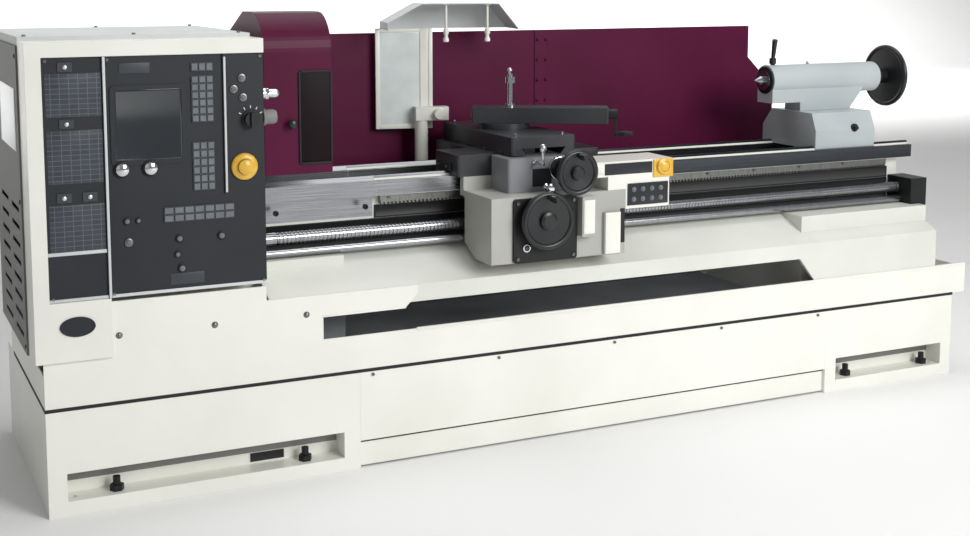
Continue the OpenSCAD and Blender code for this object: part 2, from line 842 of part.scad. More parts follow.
module lead_screw() {
    color("silver") {
        bar_x(head_x1 - shaft_in, bracket_x1 - lip, lead_y, lead_z, lead_r);
        bar_x(bracket_x1 + near_gap, bracket_x1 + lip, lead_y, lead_z, lead_r * 1.3);
        bar_x(bracket_x1 - lip - over, bracket_x1 + near_gap + over, lead_y, lead_z, lead_r);
    }
}
module feed_shaft() {
    color("silver") {
        bar_x(head_x1 - shaft_in, bracket_x1 + near_gap + over, feed_y, feed_z, feed_r);
        bar_x(bracket_x1 + near_gap, bracket_x1 + lip, feed_y, feed_z, feed_r * 1.3);
    }
}

// End cover, cabinet and guards

end_cover_x0 = -24;
end_cover_y0_off = 10;
end_cover_y0 = box_back + end_cover_y0_off;
end_cover_y1 = 640;
end_cover_low = 410;
end_cover_top = head_top - cover_gap;
end_cover_x1 = end_x - cover_gap;
louvre_rows = 8;
louvre_pitch = 48;
louvre_z0 = 445;
louvre_w = 150;
louvre_h = 14;
louvre_in = 125;
louvre_step = 220;
louvre_cols = [end_cover_y0 + louvre_in, end_cover_y0 + louvre_in + louvre_step];

// Louvred sheet cover over the belt drive, hinged at its rear edge
module end_cover() {
    color("gray") {
        difference() {
            block(end_cover_x0, end_cover_x1, end_cover_y0, end_cover_y1, end_cover_low, end_cover_top);
            block(end_cover_x0 + guard_t, end_cover_x1 + over, end_cover_y0 + guard_t,
                end_cover_y1 - guard_t, end_cover_low + guard_t, end_cover_top - guard_t);
            for (y = louvre_cols, k = [0 : louvre_rows - 1])
                block(end_cover_x0 - over, end_cover_x0 + guard_t + over, y - louvre_w / 2,
                    y + louvre_w / 2, louvre_z0 + k * louvre_pitch, louvre_z0 + k * louvre_pitch + louvre_h);
        }
    }
}

cabinet_x0 = 40;
cabinet_x1 = head_x1;
cabinet_y0 = tray_depth;
cabinet_y1 = cabinet_y0 + cabinet_depth;
cabinet_low_off = 6;
cabinet_low = tray_z + cabinet_low_off;
door_t = 6;
latch_r = 12;

// Electrical cabinet on the back, open where its door closes
module electrical_cabinet() {
    color("gainsboro") difference() {
        block(cabinet_x0, cabinet_x1, cabinet_y0, cabinet_y1, cabinet_low, head_top);
        block(cabinet_x0 + 2 * guard_t, cabinet_x1 - 2 * guard_t, cabinet_y0 + 2 * guard_t,
            cabinet_y1 + over, cabinet_low + 2 * guard_t, head_top - 2 * guard_t);
    }
}

// Cabinet door with a folded rim inside and a turn latch
module cabinet_door() {
    color("gainsboro") {
        block(cabinet_x0, cabinet_x1, cabinet_y1 + near_gap, cabinet_y1 + door_t, cabinet_low, head_top);
        difference() {
            block(cabinet_x0 + 4 * guard_t, cabinet_x1 - 4 * guard_t, cabinet_y1 - 4 * guard_t,
                cabinet_y1 + door_t / 2, cabinet_low + 4 * guard_t, head_top - 4 * guard_t);
            block(cabinet_x0 + 5 * guard_t, cabinet_x1 - 5 * guard_t, cabinet_y1 - 5 * guard_t,
                cabinet_y1 + door_t / 2 - guard_t / 2, cabinet_low + 5 * guard_t, head_top - 5 * guard_t);
        }
        bar_y(cabinet_x1 - 4 * latch_r, cabinet_y1 + door_t - over, cabinet_y1 + door_t + latch_r / 2,
            (cabinet_low + head_top) / 2, latch_r);
    }
}

splash_x0 = head_x1 + near_gap;
splash_y1 = tray_depth - tray_t;
splash_y0 = splash_y1 - guard_t;
splash_mid_x = 1787;
strap_w = 53;
splash_x1 = 2785;
splash_cap_x = 2667;
splash_drop = 116;
splash_slope = [splash_top - splash_drop, splash_top - 2 * splash_drop];

// Two sheets that meet under a strap, with a folded top edge
module splash_guard() {
    color("#5a1b3b") {
        along_y(splash_y0, splash_y1)
            polygon([[splash_x0, tray_top], [splash_x1, tray_top], [splash_x1, splash_slope[1]],
                [splash_cap_x, splash_slope[0]], [splash_cap_x, splash_top], [splash_x0, splash_top]]);
        block(splash_x0, splash_cap_x, splash_y0, splash_y1 + 4 * guard_t, splash_top - guard_t, splash_top);
        block(splash_mid_x - strap_w / 2, splash_mid_x + strap_w / 2, splash_y0 - guard_t,
            splash_y0 + over, way_h, splash_top);
    }
}

guard_x1 = 840;
guard_top_off = 75;
guard_top = head_top + guard_top_off;
guard_front_y = 150;
guard_low = 840;
guard_r = 110;
guard_back_y = spindle_y;

// Outline of the chuck guard from the side: front, round shoulder, top and a slope to the hinge
module guard_2d(inset) {
    y0 = guard_front_y + inset;
    top = guard_top - inset;
    r = guard_r - inset;
    low = guard_low - (inset > 0 ? over : 0);
    back = guard_hinge_y + 2 * guard_pin_r + (inset > 0 ? over : 0);
    polygon(concat([[y0, low]], arc([y0 + r, top - r], r, 180, 90), [[guard_back_y, top],
        [back, guard_hinge_z + 2.5 * guard_pin_r - inset * 1.2], [back, low]]));
}

window_x0 = 752;
window_z0 = 880;
window_z1 = 1120;

// Bent sheet hood over the chuck, with an end plate that swings on the housing's pin
module chuck_guard() {
    clear_r = chuck_r + 1.5 * lip;
    color("#591936") difference() {
        along_x(guard_x0, guard_x1) guard_2d(0);
        along_x(guard_x0 + guard_t, guard_x1 + over) guard_2d(guard_t);
        bar_x(guard_x0 - over, guard_x1, spindle_y, spindle_z, clear_r);
        block(guard_x0 - over, guard_x1, spindle_y - clear_r, guard_hinge_y + guard_r,
            guard_low - over, spindle_z + clear_r * 0.4);
        block(window_x0, guard_x1 - 2 * lip, guard_front_y - over, guard_front_y + guard_t + over,
            window_z0, window_z1);
        bar_x(guard_x0 - over, guard_x0 + guard_t + over, guard_hinge_y, guard_hinge_z,
            guard_pin_r + run_gap);
    }
}

// Carriage

saddle_x0 = 1230;
saddle_x1 = saddle_x0 + saddle_len;
saddle_y0 = 140;
saddle_y1_off = 25;
saddle_y1 = bed_y1 + saddle_y1_off;
saddle_low = way_h + slide_gap;
saddle_top = way_h + saddle_h;
slide_x = 1480;
bridge_half = 140;
notch_y0 = 300;
notch_y1 = 400;
fillet_r = 20;
dovetail_top = 75;
dovetail_low = 58;
dovetail_h = 20;
cross_x = 1506;
cross_z_off = 28;
cross_z = way_h + cross_z_off;
cross_r = 8;
nut_half = 11;
channel_half = 13;
keeper_t = 24;
post_x = 1300;
post_y_off = 30;
post_y = saddle_y1 + post_y_off;
post_r = 22;
post_foot_y_off = 75;
post_foot_y = saddle_y1 + post_foot_y_off;
keeper_low = way_h - way_t - keeper_t;
post_foot_z = keeper_low + 2 * post_r;

module saddle_plan_2d() {
    difference() {
        soft_rect(saddle_x0, saddle_x1, saddle_y0, saddle_y1, fillet_r / 2);
        soft_rect(saddle_x0 - fillet_r, slide_x - bridge_half, notch_y0, saddle_y1 + fillet_r, fillet_r);
        soft_rect(slide_x + bridge_half, saddle_x1 + fillet_r, notch_y0, notch_y1, fillet_r);
    }
}

// Dovetail that the cross slide rides on
module dovetail_2d(top, low, h) {
    polygon([[-low, -over], [low, -over], [low, 0], [top, h], [-top, h], [-low, 0]]);
}

// H-shaped saddle on the ways, with the cross dovetail and a keeper under the rear way
module saddle() {
    color("#3a3d40") difference() {
        union() {
            translate([0, 0, saddle_low]) linear_extrude(saddle_top - saddle_low) saddle_plan_2d();
            translate([slide_x, 0, saddle_top]) along_y(saddle_y0, saddle_y1)
                dovetail_2d(dovetail_top, dovetail_low, dovetail_h);
            along_x(post_x - 2 * post_r, saddle_x1)
                polygon([[saddle_y1, post_foot_z], [saddle_y1, keeper_low], [bed_y1 - keeper_t, keeper_low],
                    [bed_y1 - keeper_t, way_h - way_t - slide_gap], [bed_y1 + slide_gap, way_h - way_t - slide_gap],
                    [bed_y1 + slide_gap, post_foot_z]]);
            along_x(slide_x - bridge_half, saddle_x1)
                rect(bed_y1 + slide_gap, saddle_y1, post_foot_z - over, saddle_top - saddle_h / 2);
            translate([0, 0, keeper_low]) linear_extrude(post_foot_z - keeper_low)
                soft_rect(post_x - 2 * post_r, post_x + 2 * post_r, saddle_y1 - fillet_r / 2, post_foot_y, fillet_r / 2);
        }
        along_x(saddle_x0 - over, saddle_x1 + over) vees_2d(slide_gap);
        block(cross_x - channel_half, cross_x + channel_half, saddle_y0 - over, saddle_y1 + over,
            cross_z - cross_r - 2 * lip / 5, saddle_top + dovetail_h + over);
    }
}

bracket_front = 20;
bracket_half = 100;
bracket_mid = 1440;
bracket_top_off = 62;
bracket_top = way_h + bracket_top_off;
apron_top_off = 40;
apron_top = way_h - apron_top_off;

// Grey casting in front of the saddle that carries the cross screw
module cross_screw_bracket() {
    color("darkgray") difference() {
        translate([0, 0, apron_top]) linear_extrude(bracket_top - apron_top)
            soft_rect(bracket_mid - bracket_half, bracket_mid + bracket_half, bracket_front,
                saddle_y0, fillet_r / 2);
        bar_y(cross_x, bracket_front - over, saddle_y0 + over, cross_z, 1.5 * cross_r + run_gap);
    }
}

apron_x0 = 1250;
apron_x1 = 1700;
apron_y0 = -50;
apron_y1 = 132;
apron_low_off = 25;
apron_low = bed_low - apron_low_off;
lug_wall = 4;
lever_box_x0 = 1535;
lever_box_w = 47;
lever_box_t = 30;
lever_box_z0 = 630;
lever_box_z1 = 751;
boss_x0 = 1623;
boss_z1 = 696;
apron_wall = 18;
apron_knee = 60;
apron_heel_off = 40;
apron_heel = apron_low + apron_heel_off;
wheel_z = rack_pitch_z - pinion_r;
wheel_shaft_r = 10;
lug_half = 40;

// Apron casting, cut back underneath to clear the flank, with a nut lug round each shaft
module apron() {
    color("darkgray") difference() {
        union() {
            along_x(apron_x0, apron_x1)
                polygon([[apron_y0, apron_low], [apron_knee, apron_low], [apron_y1, apron_heel],
                    [apron_y1, apron_top - apron_wall], [saddle_y0 + keeper_t, apron_top - apron_wall],
                    [saddle_y0 + keeper_t, saddle_low], [saddle_y0, saddle_low], [saddle_y0, apron_top],
                    [apron_y0, apron_top]]);
            block(slide_x - lug_half, slide_x + lug_half, apron_y1 - over, lead_y + lead_r + lug_wall,
                lead_z - lead_r - 2 * lug_wall, lead_z + lead_r + 2 * lug_wall);
            block(slide_x - lug_half, slide_x + lug_half, apron_y1 - over, feed_y + feed_r + lug_wall,
                feed_z - feed_r - lug_wall, feed_z + feed_r + lug_wall);
            along_y(apron_y0 - lever_box_t, apron_y0 + over)
                soft_rect(lever_box_x0, lever_box_x0 + lever_box_w, lever_box_z0, lever_box_z1, lip / 2);
            along_y(apron_y0 - lip, apron_y0 + over)
                soft_rect(boss_x0, apron_x1 - 2 * lip, apron_low, boss_z1, lip / 2);
        }
        along_x(apron_x0 + apron_wall, apron_x1 - apron_wall)
            polygon([[apron_y0 + apron_wall, apron_low + apron_wall], [apron_knee, apron_low + apron_wall],
                [apron_y1 - apron_wall, apron_heel + apron_wall], [apron_y1 - apron_wall, apron_top - apron_wall],
                [apron_y0 + apron_wall, apron_top - apron_wall]]);
        bar_x(apron_x0, apron_x1, lead_y, lead_z, lead_r + near_gap);
        bar_x(apron_x0, apron_x1, feed_y, feed_z, feed_r + near_gap);
        bar_y(wheel_x, apron_y0 - over, apron_y1 + over, wheel_z, wheel_shaft_r + run_gap);
    }
}

plate_x0 = 1319;
plate_x1 = 1530;
plate_z1_off = 45;
plate_z1 = way_h - plate_z1_off;
plate_t = 8;

module apron_plate() {
    color("#2a2a2a") difference() {
        along_y(apron_y0 - plate_t, apron_y0)
            soft_rect(plate_x0, plate_x1, apron_low, plate_z1, fillet_r / 2);
        bar_y(wheel_x, apron_y0 - plate_t - over, apron_y0 + over, wheel_z, wheel_shaft_r + run_gap);
    }
}

wheel_y = -88;
rim_r = 9;
handle_r = 9;
handle_len = 60;

// Handwheel facing the operator: rim, dished web, hub and handle, centred on its rim plane
module handwheel(r, hub_r, grip) {
    rotate([90, 0, 0]) {
        rotate_extrude() {
            translate([r - rim_r, 0]) circle(rim_r);
            polygon([[0, -rim_r * 2], [hub_r, -rim_r * 2], [hub_r, -rim_r], [r - rim_r, -rim_r / 2],
                [r - rim_r, rim_r / 2], [hub_r, 0], [hub_r, rim_r], [hub_r * 0.7, rim_r * 1.4],
                [0, rim_r * 1.4]]);
        }
        translate([0, r - 2 * rim_r, 0]) rotate_extrude()
            polygon([[0, 0], [handle_r * 0.6, 0], [handle_r * 0.6, rim_r * 1.2],
                [handle_r, grip * 0.4], [handle_r * 1.1, grip * 0.75], [handle_r * 0.7, grip], [0, grip]]);
    }
}

// Pinion tooth outline, thinner than the rack's gap
module pinion_2d() {
    circle(pinion_r - tooth_ded);
    for (i = [0 : pinion_teeth - 1]) rotate(90 + i * 360 / pinion_teeth)
        polygon([[pinion_r - tooth_ded - over, -tooth_half], [pinion_r, -tooth_half * 0.8],
            [pinion_r + tooth_add, -tooth_half * 0.35], [pinion_r + tooth_add, tooth_half * 0.35],
            [pinion_r, tooth_half * 0.8], [pinion_r - tooth_ded - over, tooth_half]]);
}

module carriage_handwheel() {
    color("#373a39") {
        translate([wheel_x, wheel_y, wheel_z]) handwheel(carriage_wheel_r, 26, handle_len);
        bar_y(wheel_x, wheel_y, apron_y0 - plate_t - near_gap, wheel_z, 1.6 * wheel_shaft_r);
        bar_y(wheel_x, wheel_y, wall_y0 - lip / 2, wheel_z, wheel_shaft_r);
        translate([wheel_x, 0, wheel_z]) along_y(lead_y + lead_r + lip / 2, wall_y0 - lip / 2) pinion_2d();
    }
}

pendant_x0 = 1568;
pendant_x1 = 1871;
pendant_y1 = 90;
pendant_low = way_h;
pendant_top_off = 46;
pendant_top = way_h + pendant_top_off;
lower_x0 = 1640;
lower_x1 = 1860;
lower_low_off = 100;
lower_low = way_h - lower_low_off;
pendant_estop_x = 1834;
pendant_z_off = 23;
pendant_z = way_h + pendant_z_off;
pendant_stop_r = 16;

// Control pendant: a wide upper box, a lower box and the arm that joins them to the apron
module carriage_pendant() {
    color("white") difference() {
        union() {
            translate([0, 0, pendant_low]) linear_extrude(pendant_top - pendant_low)
                soft_rect(pendant_x0, pendant_x1, apron_y0, pendant_y1, fillet_r / 4);
            translate([0, 0, lower_low]) linear_extrude(pendant_low - lower_low + over)
                soft_rect(apron_x1 + near_gap, lower_x1, apron_y0, pendant_y1 - 2 * fillet_r, fillet_r / 4);
            block(lower_x0, apron_x1 + fillet_r, apron_y0, pendant_y1 - 2 * fillet_r, apron_top, pendant_low + over);
        }
        bar_y(pendant_estop_x, apron_y0 - over, apron_y0 + button_depth + button_travel + near_gap, pendant_z,
            button_r + run_gap);
    }
}

module pendant_estop() {
    color("goldenrod") {
        bar_y(pendant_estop_x, apron_y0 - near_gap - button_travel, apron_y0 + button_depth, pendant_z, button_r);
        turned_y(pendant_estop_x, apron_y0 - near_gap - button_travel, pendant_z) intersection() {
            rect(0, pendant_stop_r, 0, pendant_stop_r * 0.7);
            translate([0, pendant_stop_r * 0.7 - 2 * pendant_stop_r]) circle(2 * pendant_stop_r);
        }
    }
}

cross_y0 = 60;
cross_y1 = cross_y0 + slide_len;
cross_top_off = 120;
cross_top = way_h + cross_top_off;
pivot_y = 330;
pivot_r = 30;
pivot_h = 22;
nut_len = 40;

// Cross slide with the female dovetail, a nut on the screw and the pivot socket
module cross_slide() {
    color("#3a3d40") difference() {
        union() {
            translate([0, 0, saddle_top + slide_gap]) linear_extrude(cross_top - saddle_top - slide_gap)
                soft_rect(slide_x - slide_w / 2, slide_x + slide_w / 2, cross_y0, cross_y1, fillet_r / 2);
            block(cross_x - nut_half, cross_x + nut_half, pivot_y - nut_len / 2, pivot_y + nut_len / 2,
                cross_z - cross_r - 2, cross_top - over);
        }
        difference() {
            translate([slide_x, 0, saddle_top]) along_y(cross_y0 - over, cross_y1 + over)
                dovetail_2d(dovetail_top + 2 * slide_gap, dovetail_low + slide_gap, dovetail_h + slide_gap);
            block(cross_x - nut_half, cross_x + nut_half, pivot_y - nut_len / 2, pivot_y + nut_len / 2,
                cross_z - cross_r, cross_top);
        }
        bar_y(cross_x, pivot_y - nut_len, pivot_y + nut_len, cross_z, cross_r + run_gap);
        bar_z(slide_x, pivot_y, cross_top - pivot_h, cross_top + over, pivot_r + run_gap);
    }
}

cross_wheel_y = -100;
dial_r = 34;
cross_hub_r = 20;
cross_end_y_off = 15;
cross_end_y = saddle_y1 - cross_end_y_off;

// Cross-slide handwheel with its graduated collar and screw in one
module cross_handwheel() {
    color("#373a39") {
        translate([cross_x, cross_wheel_y, cross_z]) handwheel(cross_wheel_r, cross_hub_r, handle_len * 0.8);
        bar_y(cross_x, cross_wheel_y, bracket_front - 4 * lip, cross_z, 1.5 * cross_r);
        bar_y(cross_x, bracket_front - 4 * lip, bracket_front - near_gap, cross_z, dial_r);
        bar_y(cross_x, bracket_front - lip, saddle_y0 - lip, cross_z, 1.5 * cross_r);
        bar_y(cross_x, saddle_y0 - lip, cross_end_y, cross_z, cross_r);
    }
}

swivel_r = 82;
swivel_top_off = 18;
swivel_top = cross_top + swivel_top_off;
rail_top_off = 16;
rail_top = swivel_top + rail_top_off;
rail_half_top = 34;
rail_half_low = 26;
top_back = 100;
top_front = top_len - top_back;
top_z_off = 187;
top_z = way_h + top_z_off;
crank_z_off = 26;
crank_z = swivel_top + crank_z_off;
crank_r = 7;
crank_nut_half = 9;
slide_lip = 3;

// Turns and moves what rides on the swivel, from its own axes at the pivot
module on_swivel() {
    translate([slide_x, pivot_y, 0]) rotate(-swivel_angle) children();
}

// Round swivel base with the dovetail of the top slide and its screw nut
module swivel_base() {
    color("#3a3d40") on_swivel() {
        difference() {
            union() {
                translate([0, 0, cross_top + slide_gap]) cylinder(h = swivel_top - cross_top - slide_gap, r = swivel_r);
                translate([0, 0, cross_top - pivot_h + near_gap]) cylinder(h = pivot_h, r = pivot_r);
                translate([0, 0, swivel_top]) along_x(-swivel_r, swivel_r * 1.6)
                    dovetail_2d(rail_half_top, rail_half_low, rail_top - swivel_top);
            }
            along_x(-swivel_r - over, swivel_r * 1.6 + over) translate([-crank_nut_half, swivel_top + near_gap])
                square([2 * crank_nut_half, rail_top]);
        }
        difference() {
            translate([-crank_nut_half, -crank_nut_half, swivel_top - over])
                cube([2 * crank_nut_half, 2 * crank_nut_half, crank_z + crank_r + slide_lip - swivel_top + over]);
            translate([-2 * crank_nut_half, 0, crank_z]) rotate([0, 90, 0])
                cylinder(h = 4 * crank_nut_half, r = crank_r + run_gap);
        }
    }
}

top_groove_off = 2;
top_groove = crank_nut_half + top_groove_off;

// Top slide with its dovetail groove, screw tunnel and tee slot
module top_slide() {
    color("#30333b") on_swivel() difference() {
        translate([0, 0, swivel_top + slide_gap]) linear_extrude(top_z - swivel_top - slide_gap)
            soft_rect(-top_back, top_front, -top_w / 2, top_w / 2, fillet_r / 4);
        translate([0, 0, swivel_top]) along_x(-top_back - over, top_front - 2 * fillet_r)
            dovetail_2d(rail_half_top + 2 * slide_gap, rail_half_low + slide_gap, rail_top - swivel_top + slide_gap);
        along_x(-top_back - over, top_front - 2 * fillet_r) translate([-top_groove, swivel_top])
            square([2 * top_groove, crank_z + crank_r + slide_lip + near_gap - swivel_top]);
        translate([0, 0, crank_z]) rotate([0, 90, 0]) cylinder(h = top_front + over, r = crank_r + run_gap);
    }
}

crank_arm = 62;
crank_hub_r = 16;

// Crank of the top slide with its collar and screw in one
module top_slide_crank() {
    color("silver") on_swivel() translate([0, 0, crank_z]) {
        rotate([0, 90, 0]) {
            translate([0, 0, -top_back + 2 * lip]) cylinder(h = top_front + top_back, r = crank_r);
            translate([0, 0, top_front + near_gap]) cylinder(h = 3 * lip, r = crank_hub_r);
        }
        translate([top_front + near_gap + 2 * lip, 0, 0]) {
            rotate([0, 90, 0]) linear_extrude(lip) {
                circle(crank_hub_r * 0.8);
                translate([0, -crank_hub_r * 0.4]) square([crank_arm, crank_hub_r * 0.8]);
                translate([crank_arm, 0]) circle(crank_hub_r * 0.6);
            }
            translate([lip - over, 0, -crank_arm]) rotate([0, 90, 0]) rotate_extrude()
                polygon([[0, 0], [handle_r * 0.6, 0], [handle_r, handle_len * 0.4],
                    [handle_r * 0.7, handle_len * 0.85], [0, handle_len * 0.85]]);
        }
    }
}

stud_x = 20;
stud_top_off = 290;
stud_top = way_h + stud_top_off;
stud_flange_r = 17;
handle_z_off = 262;
handle_z = way_h + handle_z_off;

// Tool-post stud standing on the top slide
module toolpost_stud() {
    color("silver") on_swivel() translate([stud_x, 0, top_z]) {
        cylinder(h = stud_top - top_z, r = stud_r);
        cylinder(h = lip, r = stud_flange_r);
    }
}

stud_handle_len = 74;
stud_handle_turn = 92;

// Clamp nut of the stud with its lever
module stud_handle() {
    color("silver") on_swivel() translate([stud_x, 0, handle_z]) rotate(stud_handle_turn) {
        difference() {
            union() {
                cylinder(h = 2 * lip, r = stud_flange_r);
                translate([0, 0, lip]) rotate([0, 70, 0]) cylinder(h = stud_handle_len, r = stud_r * 0.55);
                translate([0, 0, lip]) rotate([0, 70, 0]) translate([0, 0, stud_handle_len]) sphere(stud_r);
            }
            translate([0, 0, -over]) cylinder(h = 4 * lip, r = stud_r + run_gap);
        }
    }
}

// Chip shield

shield_turn = 12;
post_top_off = 172;
post_top = way_h + post_top_off;
shield_low_off = 99;
shield_low = way_h + shield_low_off;
shield_high_off = 433;
shield_high = way_h + shield_high_off;
panel_x0 = -148;
panel_x1 = 42;
hood_left = -132;
hood_right = 300;
hood_eave = 60;
hood_slope_l = 110;
hood_slope_r = 70;
hood_high_off = 512;
hood_high = way_h + hood_high_off;
hood_lip_off = 428;
hood_lip = way_h + hood_lip_off;
hood_depth = 150;
arm_t = 12;

// Turns what rides on the post, from its own axes
module on_post() {
    translate([post_x, post_y, 0]) rotate(-shield_turn) children();
}

// Post with its clamp bracket, which swings on the saddle's foot
module shield_arm() {
    color("#3a3c3e") on_post() {
        translate([0, 0, post_foot_z + slide_gap]) cylinder(h = post_top - post_foot_z, r = post_r);
        translate([-post_r, -post_r, post_top - 2 * post_r]) cube([5 * post_r, 2 * post_r, 2 * post_r]);
        translate([2.5 * post_r, -post_r + over, post_top - post_r]) rotate([90, 0, 0])
            cylinder(h = post_r, r = 0.8 * post_r);
        translate([0, post_r - arm_t / 2, post_top - over]) cube([2 * arm_t, arm_t / 2, hood_lip - post_top]);
    }
}

// Outline of the hood from the front, with its sloped shoulders
module hood_2d(inset) {
    polygon([[hood_left + inset, hood_lip - (inset > 0 ? over : 0)], [hood_left + inset, hood_high - hood_eave - inset / 2],
        [hood_left + hood_slope_l, hood_high - inset], [hood_right - hood_slope_r, hood_high - inset],
        [hood_right - inset * 1.4, hood_lip - (inset > 0 ? over : 0)]]);
}

// Bent shield: an upright panel at the left and a hood over the tool post
module chip_shield() {
    color("gainsboro") on_post() {
        block(panel_x0, panel_x1, post_r, post_r + guard_t, shield_low, hood_lip + over);
        along_y(post_r, post_r + guard_t) hood_2d(0);
        along_y(post_r - hood_depth, post_r + over) difference() {
            hood_2d(0);
            hood_2d(guard_t);
        }
    }
}

// Tailstock

tail_x0 = 2620;
tail_x1 = 2880;
tail_y0 = 195;
tail_y1_off = 30;
tail_y1 = bed_y1 - tail_y1_off;
tail_low = way_h + slide_gap;
tail_mid_off = 125;
tail_mid = way_h + tail_mid_off;
body_x0 = 2518;
body_x1 = 2993;
clamp_half = 45;

tail_shoulder = 65;
tail_bevel = 25;

// Base casting that rides on the ways, with its clamp lug between them
module tailstock_base() {
    color("lightslategray") difference() {
        union() {
            along_x(tail_x0, tail_x1)
                polygon([[tail_y0, tail_low], [tail_y1, tail_low], [tail_y1, tail_low + tail_shoulder],
                    [tail_y1 - 2 * tail_bevel, tail_mid], [tail_y0 + tail_bevel, tail_mid],
                    [tail_y0, tail_low + tail_shoulder]]);
            block(tail_x0 + tail_shoulder, tail_x1 - tail_shoulder, spindle_y - clamp_half, spindle_y + clamp_half,
                rib_top + lip / 2, tail_low + over);
        }
        along_x(tail_x0 - over, tail_x1 + over) vees_2d(slide_gap);
    }
}

// Body casting: a barrel on a waisted web, bored for the quill
module tailstock_body() {
    color("lightslategray") difference() {
        union() {
            bar_x(body_x0, body_x1, spindle_y, spindle_z, barrel_r);
            along_y(spindle_y - barrel_r * 0.8, spindle_y + barrel_r * 0.8)
                polygon([[body_x0, spindle_z], [body_x0, spindle_z - 1.5 * barrel_r],
                    [tail_x0 + 2 * lip, spindle_z - 1.5 * barrel_r], [tail_x0 + 2 * lip, tail_mid],
                    [tail_x1 - 2 * lip, tail_mid], [body_x1 - 4 * lip, spindle_z]]);
        }
        bar_x(body_x0 - over, body_x1 - head_wall, spindle_y, spindle_z, quill_r + run_gap);
        bar_x(body_x0, body_x1 + over, spindle_y, spindle_z, tail_shaft_r + run_gap);
        bar_z(lock_x, spindle_y, spindle_z + quill_r + lip / 2, spindle_z + barrel_r + over, lock_r + run_gap);
    }
}

quill_x0 = 2506;
quill_len = 300;
tail_shaft_r = 14;
tail_screw_r = 12;
centre_r = 15;
centre_taper = 2.5;
centre_len = 110;
centre_tip = 26;
centre_out = 10;

module quill() {
    color("silver") turned_x(quill_x0, spindle_y, spindle_z) difference() {
        rect(0, quill_r, 0, quill_len);
        polygon([[-over, -over], [centre_r, -over], [centre_r, 0], [centre_r - centre_taper, centre_len],
            [-over, centre_len]]);
        rect(-over, tail_screw_r + over, centre_len - over, quill_len + over);
    }
}

module dead_centre() {
    color("silver") turned_x(quill_x0 - centre_out - centre_tip, spindle_y, spindle_z)
        polygon([[0, 0], [centre_r - run_gap, centre_tip], [centre_r - run_gap, centre_tip + centre_out],
            [centre_r - centre_taper - run_gap, centre_tip + centre_out + centre_len - over],
            [0, centre_tip + centre_out + centre_len - over]]);
}

tail_wheel_x = 3060;
tail_hub_r = 26;

// Tailstock handwheel with its hub and quill screw in one
module tailstock_handwheel() {
    color("#202224") {
        translate([tail_wheel_x, spindle_y, spindle_z]) rotate(90)
            handwheel(tail_wheel_r, tail_hub_r, handle_len * 0.6);
        bar_x(body_x1 + near_gap, tail_wheel_x, spindle_y, spindle_z, 2 * tail_shaft_r);
        bar_x(body_x1 - head_wall, tail_wheel_x, spindle_y, spindle_z, tail_shaft_r);
        bar_x(quill_x0 + centre_len + lip, body_x1 - lip, spindle_y, spindle_z, tail_screw_r);
    }
}

lock_x = 2548;
lock_r = 8;
lock_len = 80;
lock_lean = 20;
lock_turn = -25;

// Lever that locks the quill
module quill_lock_lever() {
    color("#202224") translate([lock_x, spindle_y, spindle_z + quill_r + lip / 2 + near_gap]) {
        cylinder(h = barrel_r - quill_r, r = lock_r);
        translate([0, 0, barrel_r - quill_r - 2]) {
            cylinder(h = 2.5 * lock_r, r = 1.5 * lock_r);
            translate([0, 0, 1.2 * lock_r]) rotate([lock_lean, 0, lock_turn])
                cylinder(h = lock_len, r1 = lock_r * 0.8, r2 = lock_r * 1.2);
        }
    }
}

// The outline of the whole machine, which is centred on the origin
all_x0 = end_cover_x0;
all_x1 = tray_len;
all_y0 = cross_wheel_y - handle_len * 0.8;
all_y1 = cabinet_y1 + door_t + latch_r / 2;

module placed() {
    translate([-(all_x0 + all_x1) / 2, -(all_y0 + all_y1) / 2, 0]) children();
}

placed() left_pedestal();
placed() right_pedestal();
placed() centre_panel();
placed() coolant_tank();
placed() levelling_screws();
placed() chip_tray();
placed() skirt_bolts();
placed() bed();
placed() gap_bridge();
placed() rack();
placed() headstock_housing();
placed() headstock_cover();
placed() spindle_bearings();
placed() control_box();
placed() panel_fascia();
placed() membrane_keypads();
placed() drive_motor();
placed() feed_gearbox();
placed() screw_end_bracket();
placed() splash_guard();
placed() electrical_cabinet();
placed() cabinet_door();
placed() end_cover();
placed() spindle();
placed() spindle_pulley();
placed() chuck_body();
placed() chuck_jaw(0);  // chuck_jaw_1
placed() chuck_jaw(1);  // chuck_jaw_2
placed() chuck_jaw(2);  // chuck_jaw_3
placed() motor_pulley();
placed() drive_belt();
placed() lead_screw();
placed() feed_shaft();
placed() saddle();
placed() cross_screw_bracket();
placed() apron();
placed() apron_plate();
placed() carriage_pendant();
placed() carriage_handwheel();
placed() cross_slide();
placed() cross_handwheel();
placed() swivel_base();
placed() top_slide();
placed() top_slide_crank();
placed() toolpost_stud();
placed() stud_handle();
placed() chip_shield();
placed() shield_arm();
placed() chuck_guard();
placed() tailstock_base();
placed() tailstock_body();
placed() quill();
placed() dead_centre();
placed() tailstock_handwheel();
placed() quill_lock_lever();
placed() panel_estop();
placed() pendant_estop();
placed() panel_selector();
placed() start_button();
placed() stop_button();
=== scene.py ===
"""Engine lathe: the finish of every surface and its fine pieces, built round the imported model.

Places and sizes are in the lathe's own millimetres: X runs along the bed to the right, Y to the back,
Z up from the floor, as in the part's source. at() turns them to the frame's metres.
"""

import logging
import math
from collections.abc import Callable, Sequence
from dataclasses import dataclass, field
from enum import Enum

import bmesh
import bpy
from mathutils import Matrix, Vector


